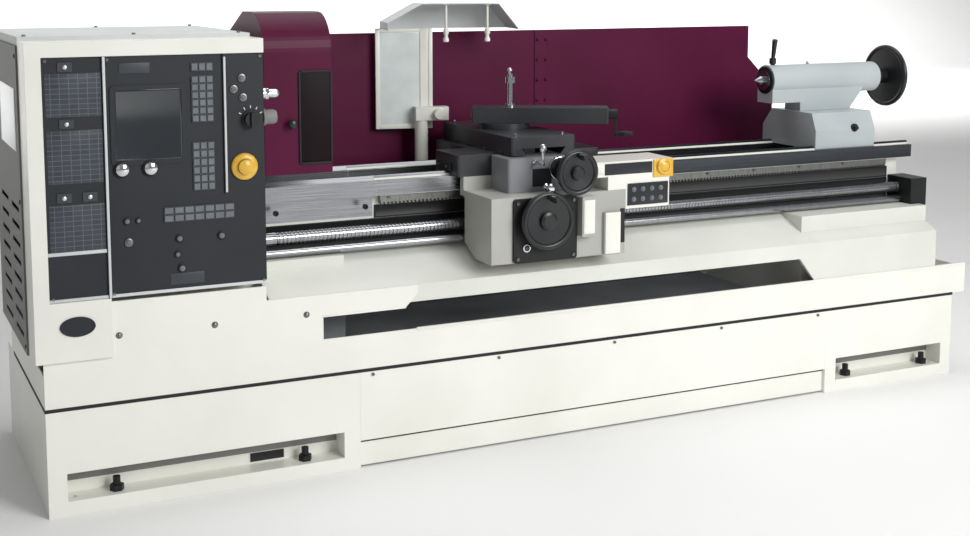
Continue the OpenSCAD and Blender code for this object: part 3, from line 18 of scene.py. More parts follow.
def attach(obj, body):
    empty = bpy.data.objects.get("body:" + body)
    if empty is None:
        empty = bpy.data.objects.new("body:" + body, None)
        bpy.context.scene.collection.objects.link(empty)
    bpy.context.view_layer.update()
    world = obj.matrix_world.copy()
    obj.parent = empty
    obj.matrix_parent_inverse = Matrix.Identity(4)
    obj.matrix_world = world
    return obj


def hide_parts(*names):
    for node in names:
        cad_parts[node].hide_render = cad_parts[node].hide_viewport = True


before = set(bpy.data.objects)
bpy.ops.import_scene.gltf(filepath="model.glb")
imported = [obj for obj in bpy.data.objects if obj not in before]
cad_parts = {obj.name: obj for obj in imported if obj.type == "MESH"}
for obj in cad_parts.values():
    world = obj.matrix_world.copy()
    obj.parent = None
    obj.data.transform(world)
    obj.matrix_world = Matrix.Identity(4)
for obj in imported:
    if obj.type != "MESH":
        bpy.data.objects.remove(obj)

LOG = logging.getLogger("lathe")
MM = 0.001
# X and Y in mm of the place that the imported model's origin takes
CENTRE = (1558.5, 360.0)
# Places of the two colours on a finish's ramp
RAMP_STOPS = (0.3, 0.65)
# Share of a face's normal that has to lie along an axis for the face to look that way
FACING = 0.98
# Distances in mm under which corners are one, and faces are level
WELD = 0.02
LEVEL = 0.01
# Least width in mm of the slope inside a plate's rim
SLOPE = 0.3
# Angle in degrees from which the bevel takes an edge
BEVELLED = 40
# Angles in degrees past which an edge is shaded sharp: on knurls, machined, bevelled and spun pieces
KNURLED, MACHINED, SOFTENED, SPUN = 20, 30, 35, 40
# Angle in degrees between the divisions of a dial
DIVISION = 4.5
# Sockets of a Mix node that mixes colours, which share their names with its other kinds of socket
MIX_FACTOR, MIX_FIRST, MIX_SECOND, MIXED = 0, 6, 7, 2
Span = tuple[float, float]
Place = tuple[float, float, float]
Box = tuple[Span, Span, Span]
Piece = bpy.types.Object
Socket = bpy.types.NodeSocket


def at(x: float, y: float, z: float) -> Vector:
    """Turns a place in the lathe's millimetres to the frame's metres.

    Args:
        x: Distance along the bed from the left end of the base.
        y: Distance behind the front of the base.
        z: Height over the floor.

    Returns:
        The same place in metres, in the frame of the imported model.
    """
    return Vector(((x - CENTRE[0]) * MM, (y - CENTRE[1]) * MM, z * MM))


def around(place: Place, degrees: float, line: str) -> Matrix:
    """Makes the right-handed turn in degrees about the "X", "Y" or "Z" line through a place in mm."""
    centre = Matrix.Translation(at(*place))
    return centre @ Matrix.Rotation(math.radians(degrees), 4, line) @ centre.inverted()


class Axis(Enum):
    """The ways in which a turned piece can point, with the turn that takes up to that way."""

    RIGHT = ((1, 0, 0), (0, 90, 0))
    LEFT = ((-1, 0, 0), (0, -90, 0))
    FRONT = ((0, -1, 0), (90, 0, 0))
    BACK = ((0, 1, 0), (-90, 0, 0))
    UP = ((0, 0, 1), (0, 0, 0))
    DOWN = ((0, 0, -1), (180, 0, 0))

    @property
    def vector(self) -> Vector:
        """The direction as a unit vector."""
        return Vector(self.value[0])

    @property
    def turn(self) -> tuple[float, ...]:
        """The turn in radians that takes +Z to this direction."""
        return tuple(math.radians(a) for a in self.value[1])

    @property
    def side(self) -> Vector:
        """A unit vector across the direction: up, or to the right where the direction is upright."""
        return Vector((0, 0, 1)) if self.vector.z == 0 else Vector((1, 0, 0))

    def angle(self, normal: Vector) -> float:
        """Returns the angle of a normal round the direction, from 0 to a full turn, in radians."""
        second = self.vector.cross(self.side)
        return math.atan2(normal.dot(second), normal.dot(self.side)) % (2 * math.pi)


class Slot(Enum):
    """The material slots of the record."""

    BASE_PAINT = "base_paint"
    GREY_PAINT = "grey_paint"
    CASTING = "casting_grey"
    SLATE = "slate_paint"
    GUARD = "guard_paint"
    DARK_METAL = "dark_metal"
    PLASTIC = "black_plastic"
    KEYPAD = "keypad"
    STEEL = "ground_steel"
    CHROME = "chrome"
    YELLOW = "estop_yellow"
    RUBBER = "belt_rubber"


# ---------------------------------------------------------------- finishes


def linear(colour: str) -> tuple[float, float, float, float]:
    """Turns an sRGB hex value to the linear colour that a shader takes.

    Args:
        colour: The value, such as "#e9e9e1".

    Returns:
        Red, green, blue and an alpha of one.
    """
    parts = [int(colour[i : i + 2], 16) / 255 for i in (1, 3, 5)]
    red, green, blue = (p / 12.92 if p <= 0.04045 else ((p + 0.055) / 1.055) ** 2.4 for p in parts)
    return red, green, blue, 1.0


def add_node(
    tree: bpy.types.NodeTree,
    kind: str,
    values: dict[str | int, object] | None = None,
    links: dict[str | int, Socket] | None = None,
    **settings: object,
) -> bpy.types.Node:
    """Adds one node with its settings, socket values and links.

    Args:
        tree: The material's node tree.
        kind: The node's type name.
        values: Values by input socket.
        links: Output sockets to link, by input socket.
        settings: The node's own properties.

    Returns:
        The new node.
    """
    node = tree.nodes.new(kind)
    for name, value in settings.items():
        setattr(node, name, value)
    for name, value in (values or {}).items():
        node.inputs[name].default_value = value
    for name, socket in (links or {}).items():
        tree.links.new(socket, node.inputs[name])
    return node


@dataclass(frozen=True)
class Sources:
    """What a finish mixes its colours from.

    Attributes:
        tree: The material's node tree.
        drift: Slow noise.
        grain: Fine noise.
        places: Object coordinates, for finishes that draw lines.
    """

    tree: bpy.types.NodeTree
    drift: Socket
    grain: Socket
    places: Socket


@dataclass(frozen=True)
class Finish:
    """A painted, moulded or machined surface, with its grain at real size.

    Attributes:
        name: The finish in a maker's words.
        colour: Main colour, as sRGB hex.
        tint: Second colour that drifts through the first.
        rough: Middle roughness.
        spread: How far the roughness drifts either way.
        metal: 1 for bare metal.
        coat: Weight of a clear gloss over the colour.
        grain: Size of the surface grain along X, Y and Z in mm.
        relief: Height of the grain in mm.
        patch: Size of the colour drift in mm.
        edge: Radius in mm by which sharp edges are softened for the eye, or zero.
        specular: Level of the plain gloss.
        slot: The record's slot meant for its pieces; not used.
    """

    name: str
    colour: str
    tint: str
    rough: float
    spread: float = 0.04
    metal: float = 0.0
    coat: float = 0.0
    grain: Place = (3.0, 3.0, 3.0)
    relief: float = 0.05
    patch: float = 400.0
    edge: float = 0.0
    specular: float = 0.5
    slot: Slot = Slot.DARK_METAL

    def material(self) -> bpy.types.Material:
        """Returns the finish's material, made on the first call."""
        return bpy.data.materials.get(self.name) or self.make()

    def make(self) -> bpy.types.Material:
        """Builds the node material.

        Returns:
            The material, with the surface linked to its output.
        """
        material = bpy.data.materials.new(self.name)
        material.use_nodes = True
        tree = material.node_tree
        tree.nodes.clear()
        places = add_node(tree, "ShaderNodeTexCoord").outputs["Object"]
        scale = tuple(1 / (g * MM) for g in self.grain)
        grained = add_node(tree, "ShaderNodeMapping", {"Scale": scale}, {"Vector": places})
        grain = add_node(
            tree, "ShaderNodeTexNoise", {"Scale": 1.0, "Detail": 3.0}, {"Vector": grained.outputs[0]}
        )
        drift = add_node(
            tree, "ShaderNodeTexNoise", {"Scale": 1 / (self.patch * MM), "Detail": 4.0}, {"Vector": places}
        )
        rough = add_node(
            tree,
            "ShaderNodeMapRange",
            {"To Min": max(self.rough - self.spread, 0.02), "To Max": self.rough + self.spread},
            {"Value": (grain if self.metal else drift).outputs[0]},
        )
        bump_links = {"Height": grain.outputs[0]}
        if self.edge:
            softened = add_node(tree, "ShaderNodeBevel", {"Radius": self.edge * MM}, samples=4)
            bump_links["Normal"] = softened.outputs[0]
        bump = add_node(tree, "ShaderNodeBump", {"Strength": 1.0, "Distance": self.relief * MM}, bump_links)
        shader = add_node(
            tree,
            "ShaderNodeBsdfPrincipled",
            {"Metallic": self.metal, "Coat Weight": self.coat, "Coat Roughness": 0.08},
            {
                "Base Color": self.tones(Sources(tree, drift.outputs[0], grain.outputs[0], places)),
                "Roughness": rough.outputs[0],
                "Normal": bump.outputs[0],
            },
        )
        if not self.metal:
            shader.inputs["Specular IOR Level"].default_value = self.specular
        self.adjust(shader)
        add_node(tree, "ShaderNodeOutputMaterial", None, {"Surface": shader.outputs[0]})
        return material

    def tones(self, sources: Sources) -> Socket:
        """Mixes the two colours by the slow drift.

        Args:
            sources: The noises and coordinates to draw from.

        Returns:
            The colour socket.
        """
        factor = sources.grain if self.metal else sources.drift
        ramp = add_node(sources.tree, "ShaderNodeValToRGB", None, {"Fac": factor})
        stops = zip(ramp.color_ramp.elements, RAMP_STOPS, (self.tint, self.colour))
        for element, position, colour in stops:
            element.position = position
            element.color = linear(colour)
        return ramp.outputs[0]

    def adjust(self, shader: bpy.types.Node) -> None:
        """Sets what a special finish adds to the shader; a plain one adds nothing."""


@dataclass(frozen=True)
class Pane(Finish):
    """Clear or tinted polycarbonate sheet.

    Attributes:
        clear: Share of the light that passes.
        index: Refractive index of polycarbonate.
    """

    clear: float = 0.8
    index: float = 1.58

    def adjust(self, shader: bpy.types.Node) -> None:
        """Lets light through the sheet."""
        shader.inputs["Transmission Weight"].default_value = self.clear
        shader.inputs["IOR"].default_value = self.index


@dataclass(frozen=True)
class Ruled(Finish):
    """A screen-printed plate of plain ruled cells.

    Attributes:
        line: Colour of the ruled lines.
        cell: Width and height of a cell in mm.
        rule: Width of a line in mm, drawn wider than a real one so that it shows.
    """

    line: str = "#5d626b"
    cell: Span = (23.0, 13.0)
    rule: float = 0.9

    def tones(self, sources: Sources) -> Socket:
        """Draws the cells as courses of bricks seen from the front.

        Args:
            sources: The noises and coordinates to draw from.

        Returns:
            The colour socket.
        """
        tree = sources.tree
        split = add_node(tree, "ShaderNodeSeparateXYZ", None, {0: sources.places})
        flat = add_node(
            tree, "ShaderNodeCombineXYZ", None, {"X": split.outputs["X"], "Y": split.outputs["Z"]}
        )
        bricks = add_node(
            tree,
            "ShaderNodeTexBrick",
            {
                "Color1": linear(self.colour),
                "Color2": linear(self.tint),
                "Mortar": linear(self.line),
                "Scale": 1.0,
                "Mortar Size": self.rule * MM,
                "Brick Width": self.cell[0] * MM,
                "Row Height": self.cell[1] * MM,
            },
            {"Vector": flat.outputs[0]},
            offset=0.0,
        )
        return bricks.outputs["Color"]


@dataclass(frozen=True)
class ShadedWay(Finish):
    """Ground steel painted darker towards the far end of the bed: painted shade and dark reflection.

    Attributes:
        shade_colour: Colour of the full painted shade.
        shade_start: X in mm up to which the steel has no painted shade.
        thick: X in mm from which the painted shade is full.
        cover: Share of the steel's colour that the full painted shade hides.
    """

    shade_colour: str = "#3c4046"
    shade_start: float = 1150.0
    thick: float = 2000.0
    cover: float = 0.85

    def tones(self, sources: Sources) -> Socket:
        """Paints shade over the ground steel, darker towards the far end of the bed.

        Args:
            sources: The noises and coordinates to draw from.

        Returns:
            The colour socket.
        """
        tree = sources.tree
        bright = Finish.tones(self, sources)
        split = add_node(tree, "ShaderNodeSeparateXYZ", None, {0: sources.places})
        # Painted shade and dark reflection: a share of the steel's colour that grows along X
        painted_shading = add_node(
            tree,
            "ShaderNodeMapRange",
            {"From Min": at(self.shade_start, 0, 0).x, "From Max": at(self.thick, 0, 0).x, "To Max": self.cover},
            {"Value": split.outputs["X"]},
        )
        links = {MIX_FACTOR: painted_shading.outputs[0], MIX_FIRST: bright}
        mixed = add_node(tree, "ShaderNodeMix", None, links, data_type="RGBA")
        mixed.inputs[MIX_SECOND].default_value = linear(self.shade_colour)
        return mixed.outputs[MIXED]


class Finishes:
    """Every finish of the lathe, named for the real surface.

    Marks of grinding, turning, milling and brushing, and the texture of powder coats, lacquer and rubber,
    are finer on a real machine. They are drawn as coarse as they need to be to show.
    """

    # Two-part machine enamel, sprayed over filled castings and sheet: soft gloss with a faint orange peel
    ENAMEL_WHITE = Finish(
        "sprayed_enamel_off_white", "#f0f0e8", "#e6e6dd", 0.36, coat=0.25, relief=0.03, edge=2.5,
        slot=Slot.BASE_PAINT,
    )
    # The same enamel on the bed casting, a shade greyer and a little rougher over cast iron
    ENAMEL_BED = Finish(
        "sprayed_enamel_on_cast_bed", "#e2e3da", "#d6d7cf", 0.42, coat=0.15, grain=(6, 6, 6), relief=0.06,
        edge=3.0, slot=Slot.BASE_PAINT,
    )
    # Powder coat on folded covers: an even pale grey with a fine texture that breaks the gloss
    POWDER_PALE = Finish(
        "powder_coat_pale_grey", "#d3d6d6", "#c9cccc", 0.5, grain=(1.5, 1.5, 1.5), relief=0.04, edge=2.0,
        slot=Slot.GREY_PAINT,
    )
    # Powder coat on the louvred end cover: mid grey, matt; on the toe recesses' strips the same grey is
    # painted shade
    POWDER_MID = Finish(
        "powder_coat_mid_grey", "#83837f", "#757573", 0.55, grain=(1.5, 1.5, 1.5), relief=0.05, edge=2.0,
        slot=Slot.GREY_PAINT,
    )
    # Burgundy enamel on sheet guards: deep colour, with its gloss kept low as little light comes back
    BURGUNDY = Finish(
        "gloss_enamel_burgundy", "#580e37", "#4d0b2e", 0.42, coat=0.03, relief=0.02, patch=300, edge=1.5,
        specular=0.15, slot=Slot.GUARD,
    )
    # Blue-grey enamel over cast iron: the tailstock's softer gloss with the casting's skin showing through
    CASTING_BLUE = Finish(
        "enamel_blue_grey_on_cast_iron", "#b7bfc0", "#a8b0b2", 0.4, coat=0.2, grain=(5, 5, 5), relief=0.08,
        edge=4.0, slot=Slot.CASTING,
    )
    # Warm grey enamel over the apron's cast iron: soft gloss on a slightly rough skin
    CASTING_WARM = Finish(
        "enamel_warm_grey_on_cast_iron", "#b2b2ac", "#a3a39e", 0.42, coat=0.2, grain=(5, 5, 5), relief=0.08,
        edge=4.0, slot=Slot.CASTING,
    )
    # Dark slate enamel with an oil film: saddle and slides, nearly black with a broad sheen
    SLATE = Finish(
        "oiled_slate_enamel", "#303337", "#272a2d", 0.38, coat=0.08, grain=(4, 4, 4), relief=0.06,
        patch=120, edge=2.0, slot=Slot.SLATE,
    )
    # Phosphate-blacked steel: matt black with a faint drift; on the plates behind the shafts the black is
    # painted shade
    BLACKED = Finish(
        "blacked_steel", "#1b1c1e", "#161718", 0.48, relief=0.03, patch=90, edge=1.0, specular=0.35
    )
    # Dark grey sheet lining the tray and the bed's left foot: its darkness is painted shade for the shadowed
    # tray; cool, matt, with a slow drift where coolant dries
    SHADE_LINER = Finish(
        "dark_sheet_painted_shade", "#85898c", "#787c7f", 0.55, relief=0.03, patch=140, edge=1.5, specular=0.35
    )
    # Satin dark fascia: textured lacquer on sheet steel, which hides finger marks
    FASCIA = Finish(
        "satin_lacquer_charcoal", "#272a2f", "#222529", 0.46, grain=(0.9, 0.9, 0.9), relief=0.02, patch=250,
        edge=1.0, specular=0.35,
    )
    # Ground cast-iron ways: bright, with long marks of the grinding wheel along the bed, painted darker from
    # X 1150 to 2000 mm as painted shade and dark reflection
    GROUND = ShadedWay(
        "ground_way_steel", "#a9aaad", "#7d7f84", 0.28, 0.08, 1.0, grain=(220, 1.2, 1.2), relief=0.01,
        patch=90, slot=Slot.STEEL,
    )
    # Blue-grey enamel, darker than the other castings', on the screw bracket in front of the saddle: the
    # darkness is painted shade
    CASTING_SHADE = Finish(
        "grey_enamel_painted_shade", "#87888c", "#7a7b7f", 0.42, coat=0.1, grain=(5, 5, 5), relief=0.08, edge=4.0,
        slot=Slot.CASTING,
    )
    # Steel turned on centres: fine rings round a shaft along X, bright and slightly oily
    TURNED = Finish(
        "turned_shaft_steel", "#b4b5b8", "#8f9195", 0.24, 0.07, 1.0, grain=(0.8, 60, 60), relief=0.01,
        patch=60, slot=Slot.STEEL,
    )
    # Milled steel rack and bolts: duller, with short cutter marks
    MILLED = Finish(
        "milled_steel", "#8e8f8c", "#6f706d", 0.36, 0.08, 1.0, grain=(1.5, 20, 20), relief=0.02, patch=60
    )
    # Hard chrome plate: mirror-like, with hardly any grain
    CHROME = Finish(
        "chrome_plate", "#d9dadc", "#c9cacd", 0.12, 0.03, 1.0, grain=(8, 8, 8), relief=0.004,
        slot=Slot.CHROME,
    )
    # Moulded black thermoset of wheels and knobs: a soft sheen on rounded rims
    MOULDED = Finish(
        "moulded_black_phenolic", "#191b1d", "#131516", 0.34, coat=0.08, grain=(1.2, 1.2, 1.2), relief=0.02,
        slot=Slot.PLASTIC,
    )
    # Grey elastomer keys of the keypads: matt, slightly paler at the crown
    KEY = Finish(
        "silicone_key_grey", "#70767a", "#62686c", 0.6, grain=(0.8, 0.8, 0.8), relief=0.02, patch=30,
        slot=Slot.KEYPAD,
    )
    # Polyester overlay round the keys: smooth, dark and satin
    OVERLAY = Finish(
        "polyester_overlay", "#3a3e44", "#34383e", 0.4, grain=(0.6, 0.6, 0.6), relief=0.01, patch=60,
        slot=Slot.KEYPAD,
    )
    # Yellow moulded plate and mushroom of an emergency stop: warm, glossy
    YELLOW = Finish(
        "moulded_yellow_polyamide", "#e6b945", "#d8a836", 0.3, coat=0.2, relief=0.01, patch=20,
        slot=Slot.YELLOW,
    )
    # Nitrile rubber: belt, wipers and beading, dull black; in the strips along the base's joints the black is
    # painted shadow
    RUBBER = Finish(
        "nitrile_rubber", "#1d1d1e", "#171718", 0.7, grain=(0.7, 0.7, 0.7), relief=0.04, slot=Slot.RUBBER
    )
    # Dark glass over an unlit display: near-black and mirror smooth
    GLASS = Finish("display_glass_unlit", "#2d3236", "#282d31", 0.1, 0.02, coat=0.6, relief=0.0, patch=200)
    # Opaque near-black polycarbonate in the chuck guard's window: its darkness is painted shade for the
    # shadow there, with a dull and broad reflection
    SHADE_PANE = Pane(
        "near_black_pane_painted_shade", "#120309", "#0d0206", 0.45, 0.03, relief=0.0, clear=0.0, specular=0.12,
        slot=Slot.GUARD,
    )
    # Clear polycarbonate chip window: pale, cool, and so scuffed that little shows through
    CLEAR = Pane(
        "clear_polycarbonate", "#edf4f2", "#e4ecea", 0.16, 0.06, relief=0.004, clear=0.12, patch=40,
        slot=Slot.GREY_PAINT,
    )
    # Screen-printed charts: a dark satin print, ruled in cells
    CHART = Ruled("screen_printed_chart", "#41454c", "#393d44", 0.42, relief=0.01, specular=0.35)
    # Plain aluminium plate: satin, with fine brushing along X
    BARE_PLATE = Finish(
        "brushed_aluminium_plate", "#e4e6e6", "#d2d4d5", 0.34, 0.06, 1.0, grain=(60, 0.8, 0.8), relief=0.01,
        slot=Slot.GREY_PAINT,
    )
    # Machinery paint on the coolant tank, pulleys and motor: dull grey-green
    MOTOR = Finish(
        "motor_paint_grey_green", "#6d7673", "#626b68", 0.5, grain=(3, 3, 3), relief=0.06, edge=1.0
    )
    # Polished concrete of the studio: pale and matt, with hardly any tone of its own
    FLOOR = Finish("pale_studio_floor", "#f4f4f3", "#f1f1f0", 0.65, relief=0.0, patch=1500, specular=0.2)


# ---------------------------------------------------------------- the modelling bench


class Bench:
    """Adds primitives at their size and place, and finishes them with applied modifiers."""

    @staticmethod
    def clear() -> None:
        """Leaves edit mode and deselects everything."""
        if bpy.context.mode != "OBJECT":
            bpy.ops.object.mode_set(mode="OBJECT")
        bpy.ops.object.select_all(action="DESELECT")

    @staticmethod
    def take(piece: Piece) -> None:
        """Selects one piece alone and makes it active.

        Args:
            piece: The piece to work on.
        """
        Bench.clear()
        piece.select_set(True)
        bpy.context.view_layer.objects.active = piece

    @staticmethod
    def settle(name: str) -> Piece:
        """Names the new primitive and puts its place into its mesh.

        Args:
            name: The piece's name.

        Returns:
            The piece, with its object at the origin.
        """
        piece = bpy.context.active_object
        piece.name = name
        piece.data.name = name
        bpy.ops.object.transform_apply(location=True, rotation=True, scale=True)
        return piece

    @staticmethod
    def block(name: str, x: Span, y: Span, z: Span) -> Piece:
        """Adds a block between its planes.

        Args:
            name: The piece's name.
            x: Lowest and highest X in mm.
            y: Lowest and highest Y in mm.
            z: Lowest and highest Z in mm.

        Returns:
            The new piece.
        """
        Bench.clear()
        low, high = at(x[0], y[0], z[0]), at(x[1], y[1], z[1])
        bpy.ops.mesh.primitive_cube_add(size=1.0, location=(low + high) / 2)
        bpy.context.active_object.scale = high - low
        return Bench.settle(name)

    @staticmethod
    def bar(name: str, place: Place, radius: float, length: float, axis: Axis, sides: int = 32) -> Piece:
        """Adds a round or many-sided bar that starts at a place.

        Args:
            name: The piece's name.
            place: Centre of the first end in mm.
            radius: Radius in mm.
            length: Length in mm.
            axis: The way in which it points.
            sides: Number of sides.

        Returns:
            The new piece.
        """
        Bench.clear()
        centre = at(*place) + axis.vector * length * MM / 2
        bpy.ops.mesh.primitive_cylinder_add(
            vertices=sides, radius=radius * MM, depth=length * MM, location=centre, rotation=axis.turn
        )
        return Bench.settle(name)

    @staticmethod
    def wire(name: str, corners: Sequence[Vector]) -> Piece:
        """Draws a line of edges from corner to corner.

        Args:
            name: The piece's name.
            corners: The corners in metres.

        Returns:
            The new piece, which has no faces yet.
        """
        Bench.clear()
        bpy.ops.mesh.primitive_plane_add(size=MM, location=corners[0])
        piece = Bench.settle(name)
        with Edit(piece):
            bpy.ops.mesh.select_mode(type="VERT")
            bpy.ops.mesh.merge(type="CENTER")
            for here, there in zip(corners, corners[1:]):
                bpy.ops.mesh.extrude_region_move(TRANSFORM_OT_translate={"value": there - here})
        return piece

    @staticmethod
    def spun(name: str, place: Place, outline: Sequence[Span], axis: Axis, steps: int = 32) -> Piece:
        """Spins an outline about an axis, as on a small lathe.

        Args:
            name: The piece's name.
            place: Where the axis starts, in mm.
            outline: Radius and length of each corner in mm, from one pole to the other.
            axis: The way in which the length grows.
            steps: Steps in the full turn.

        Returns:
            The new piece.
        """
        start = at(*place)
        piece = Bench.wire(name, [start + axis.side * r * MM + axis.vector * h * MM for r, h in outline])
        with Edit(piece) as work:
            bpy.ops.mesh.select_mode(type="VERT")
            bpy.ops.mesh.select_all(action="SELECT")
            bpy.ops.mesh.spin(steps=steps, angle=2 * math.pi, center=start, axis=axis.vector)
            work.weld()
        return Bench.smooth(piece, SPUN)

    @staticmethod
    def soften(piece: Piece, width: float, segments: int = 2) -> Piece:
        """Bevels every sharp edge and shades the piece smooth.

        Args:
            piece: The piece to work on.
            width: Width of the bevel in mm.
            segments: Number of faces across it.

        Returns:
            The same piece.
        """
        Bench.take(piece)
        bevel = piece.modifiers.new("round", "BEVEL")
        bevel.width = width * MM
        bevel.segments = segments
        bevel.limit_method = "ANGLE"
        bevel.angle_limit = math.radians(BEVELLED)
        bpy.ops.object.modifier_apply(modifier=bevel.name)
        return Bench.smooth(piece, SOFTENED)

    @staticmethod
    def smooth(piece: Piece, degrees: float) -> Piece:
        """Shades a piece smooth where its faces meet at less than an angle.

        Args:
            piece: The piece to shade.
            degrees: The angle.

        Returns:
            The same piece.
        """
        Bench.take(piece)
        bpy.ops.object.shade_smooth_by_angle(angle=math.radians(degrees))
        return piece

    @staticmethod
    def join(name: str, pieces: Sequence[Piece]) -> Piece:
        """Joins pieces of one finish into one object.

        Args:
            name: The joined piece's name.
            pieces: What to join.

        Returns:
            The joined piece.
        """
        Bench.take(pieces[0])
        for piece in pieces:
            piece.select_set(True)
        if len(pieces) > 1:
            bpy.ops.object.join()
        pieces[0].name = name
        pieces[0].data.name = name
        return pieces[0]

    @staticmethod
    def copy(piece: Piece, change: Matrix) -> Piece:
        """Copies a piece with its mesh, and moves or turns the copy.

        Args:
            piece: What to copy.
            change: The move or turn, in metres.

        Returns:
            The copy.
        """
        twin = piece.copy()
        twin.data = piece.data.copy()
        bpy.context.collection.objects.link(twin)
        twin.data.transform(change)
        return twin

    @staticmethod
    def row(piece: Piece, places: Sequence[Place]) -> Piece:
        """Copies a piece from the first of some places in mm to the others, and joins the copies.

        Args:
            piece: The piece as modelled once, with the row's name.
            places: Where the piece stands, and then where each copy goes.

        Returns:
            The joined row.
        """
        first, *others = places
        shifts = [[there - here for here, there in zip(first, place)] for place in others]
        moves = [Matrix.Translation(Vector(shift) * MM) for shift in shifts]
        return Bench.join(piece.name, [piece, *(Bench.copy(piece, move) for move in moves)])


class Edit:
    """A visit to edit mode on one piece: faces are picked by place or normal and worked by operators."""

    def __init__(self, piece: Piece) -> None:
        """Remembers the piece to work on."""
        self.piece = piece

    def __enter__(self) -> "Edit":
        """Opens edit mode with every face selected.

        Returns:
            The visit, for its first step.
        """
        Bench.take(self.piece)
        bpy.ops.object.mode_set(mode="EDIT")
        bpy.ops.mesh.select_mode(type="FACE")
        bpy.ops.mesh.select_all(action="SELECT")
        return self

    def __exit__(self, *_: object) -> None:
        """Turns every face outwards and leaves edit mode."""
        bpy.ops.mesh.select_all(action="SELECT")
        bpy.ops.mesh.normals_make_consistent(inside=False)
        bpy.ops.object.mode_set(mode="OBJECT")

    def pick(self, test: Callable[[bmesh.types.BMFace], bool]) -> "Edit":
        """Selects the faces that pass a test.

        Args:
            test: Says whether a face is picked.

        Returns:
            The same visit, for the next step.
        """
        bpy.ops.mesh.select_mode(type="FACE")
        bpy.ops.mesh.select_all(action="DESELECT")
        mesh = bmesh.from_edit_mesh(self.piece.data)
        for face in mesh.faces:
            if test(face):
                face.select_set(True)
        bmesh.update_edit_mesh(self.piece.data)
        return self

    def facing(self, axis: Axis) -> "Edit":
        """Selects the faces that look along an axis."""
        return self.pick(lambda face: face.normal.dot(axis.vector) > FACING)

    def farthest(self, axis: Axis) -> "Edit":
        """Selects the faces that look along an axis and lie farthest along it.

        Args:
            axis: The way in which they look.

        Returns:
            The same visit.
        """
        mesh = bmesh.from_edit_mesh(self.piece.data)
        looking = [f for f in mesh.faces if f.normal.dot(axis.vector) > FACING]
        top = max(f.calc_center_median().dot(axis.vector) for f in looking)
        return self.pick(
            lambda f: f.normal.dot(axis.vector) > FACING
            and f.calc_center_median().dot(axis.vector) > top - LEVEL * MM
        )

    def inset(self, rim: float, depth: float = 0.0, each: bool = False) -> "Edit":
        """Insets the picked faces.

        Args:
            rim: Width of the rim in mm.
            depth: How far the inside rises, in mm.
            each: True to inset every face by itself.

        Returns:
            The same visit.
        """
        bpy.ops.mesh.inset(thickness=rim * MM, depth=depth * MM, use_individual=each)
        return self

    def push(self, axis: Axis, length: float) -> "Edit":
        """Extrudes the picked faces along an axis by a length in mm."""
        bpy.ops.mesh.extrude_region_move(TRANSFORM_OT_translate={"value": axis.vector * length * MM})
        return self

    def shift(self, axis: Axis, length: float) -> "Edit":
        """Moves the picked faces along an axis by a length in mm."""
        bpy.ops.transform.translate(value=axis.vector * length * MM)
        return self

    def cut(self, cuts: int) -> "Edit":
        """Subdivides the picked faces."""
        bpy.ops.mesh.subdivide(number_cuts=cuts)
        return self

    def middle(self) -> Vector:
        """Finds the middle of the picked faces.

        Returns:
            The mean of their middles, in metres.
        """
        mesh = bmesh.from_edit_mesh(self.piece.data)
        picked = [f.calc_center_median() for f in mesh.faces if f.select]
        return sum(picked, Vector()) / max(len(picked), 1)

    def weld(self) -> "Edit":
        """Merges corners that coincide.

        Returns:
            The same visit.
        """
        bpy.ops.mesh.select_all(action="SELECT")
        bpy.ops.mesh.remove_doubles(threshold=WELD * MM)
        return self


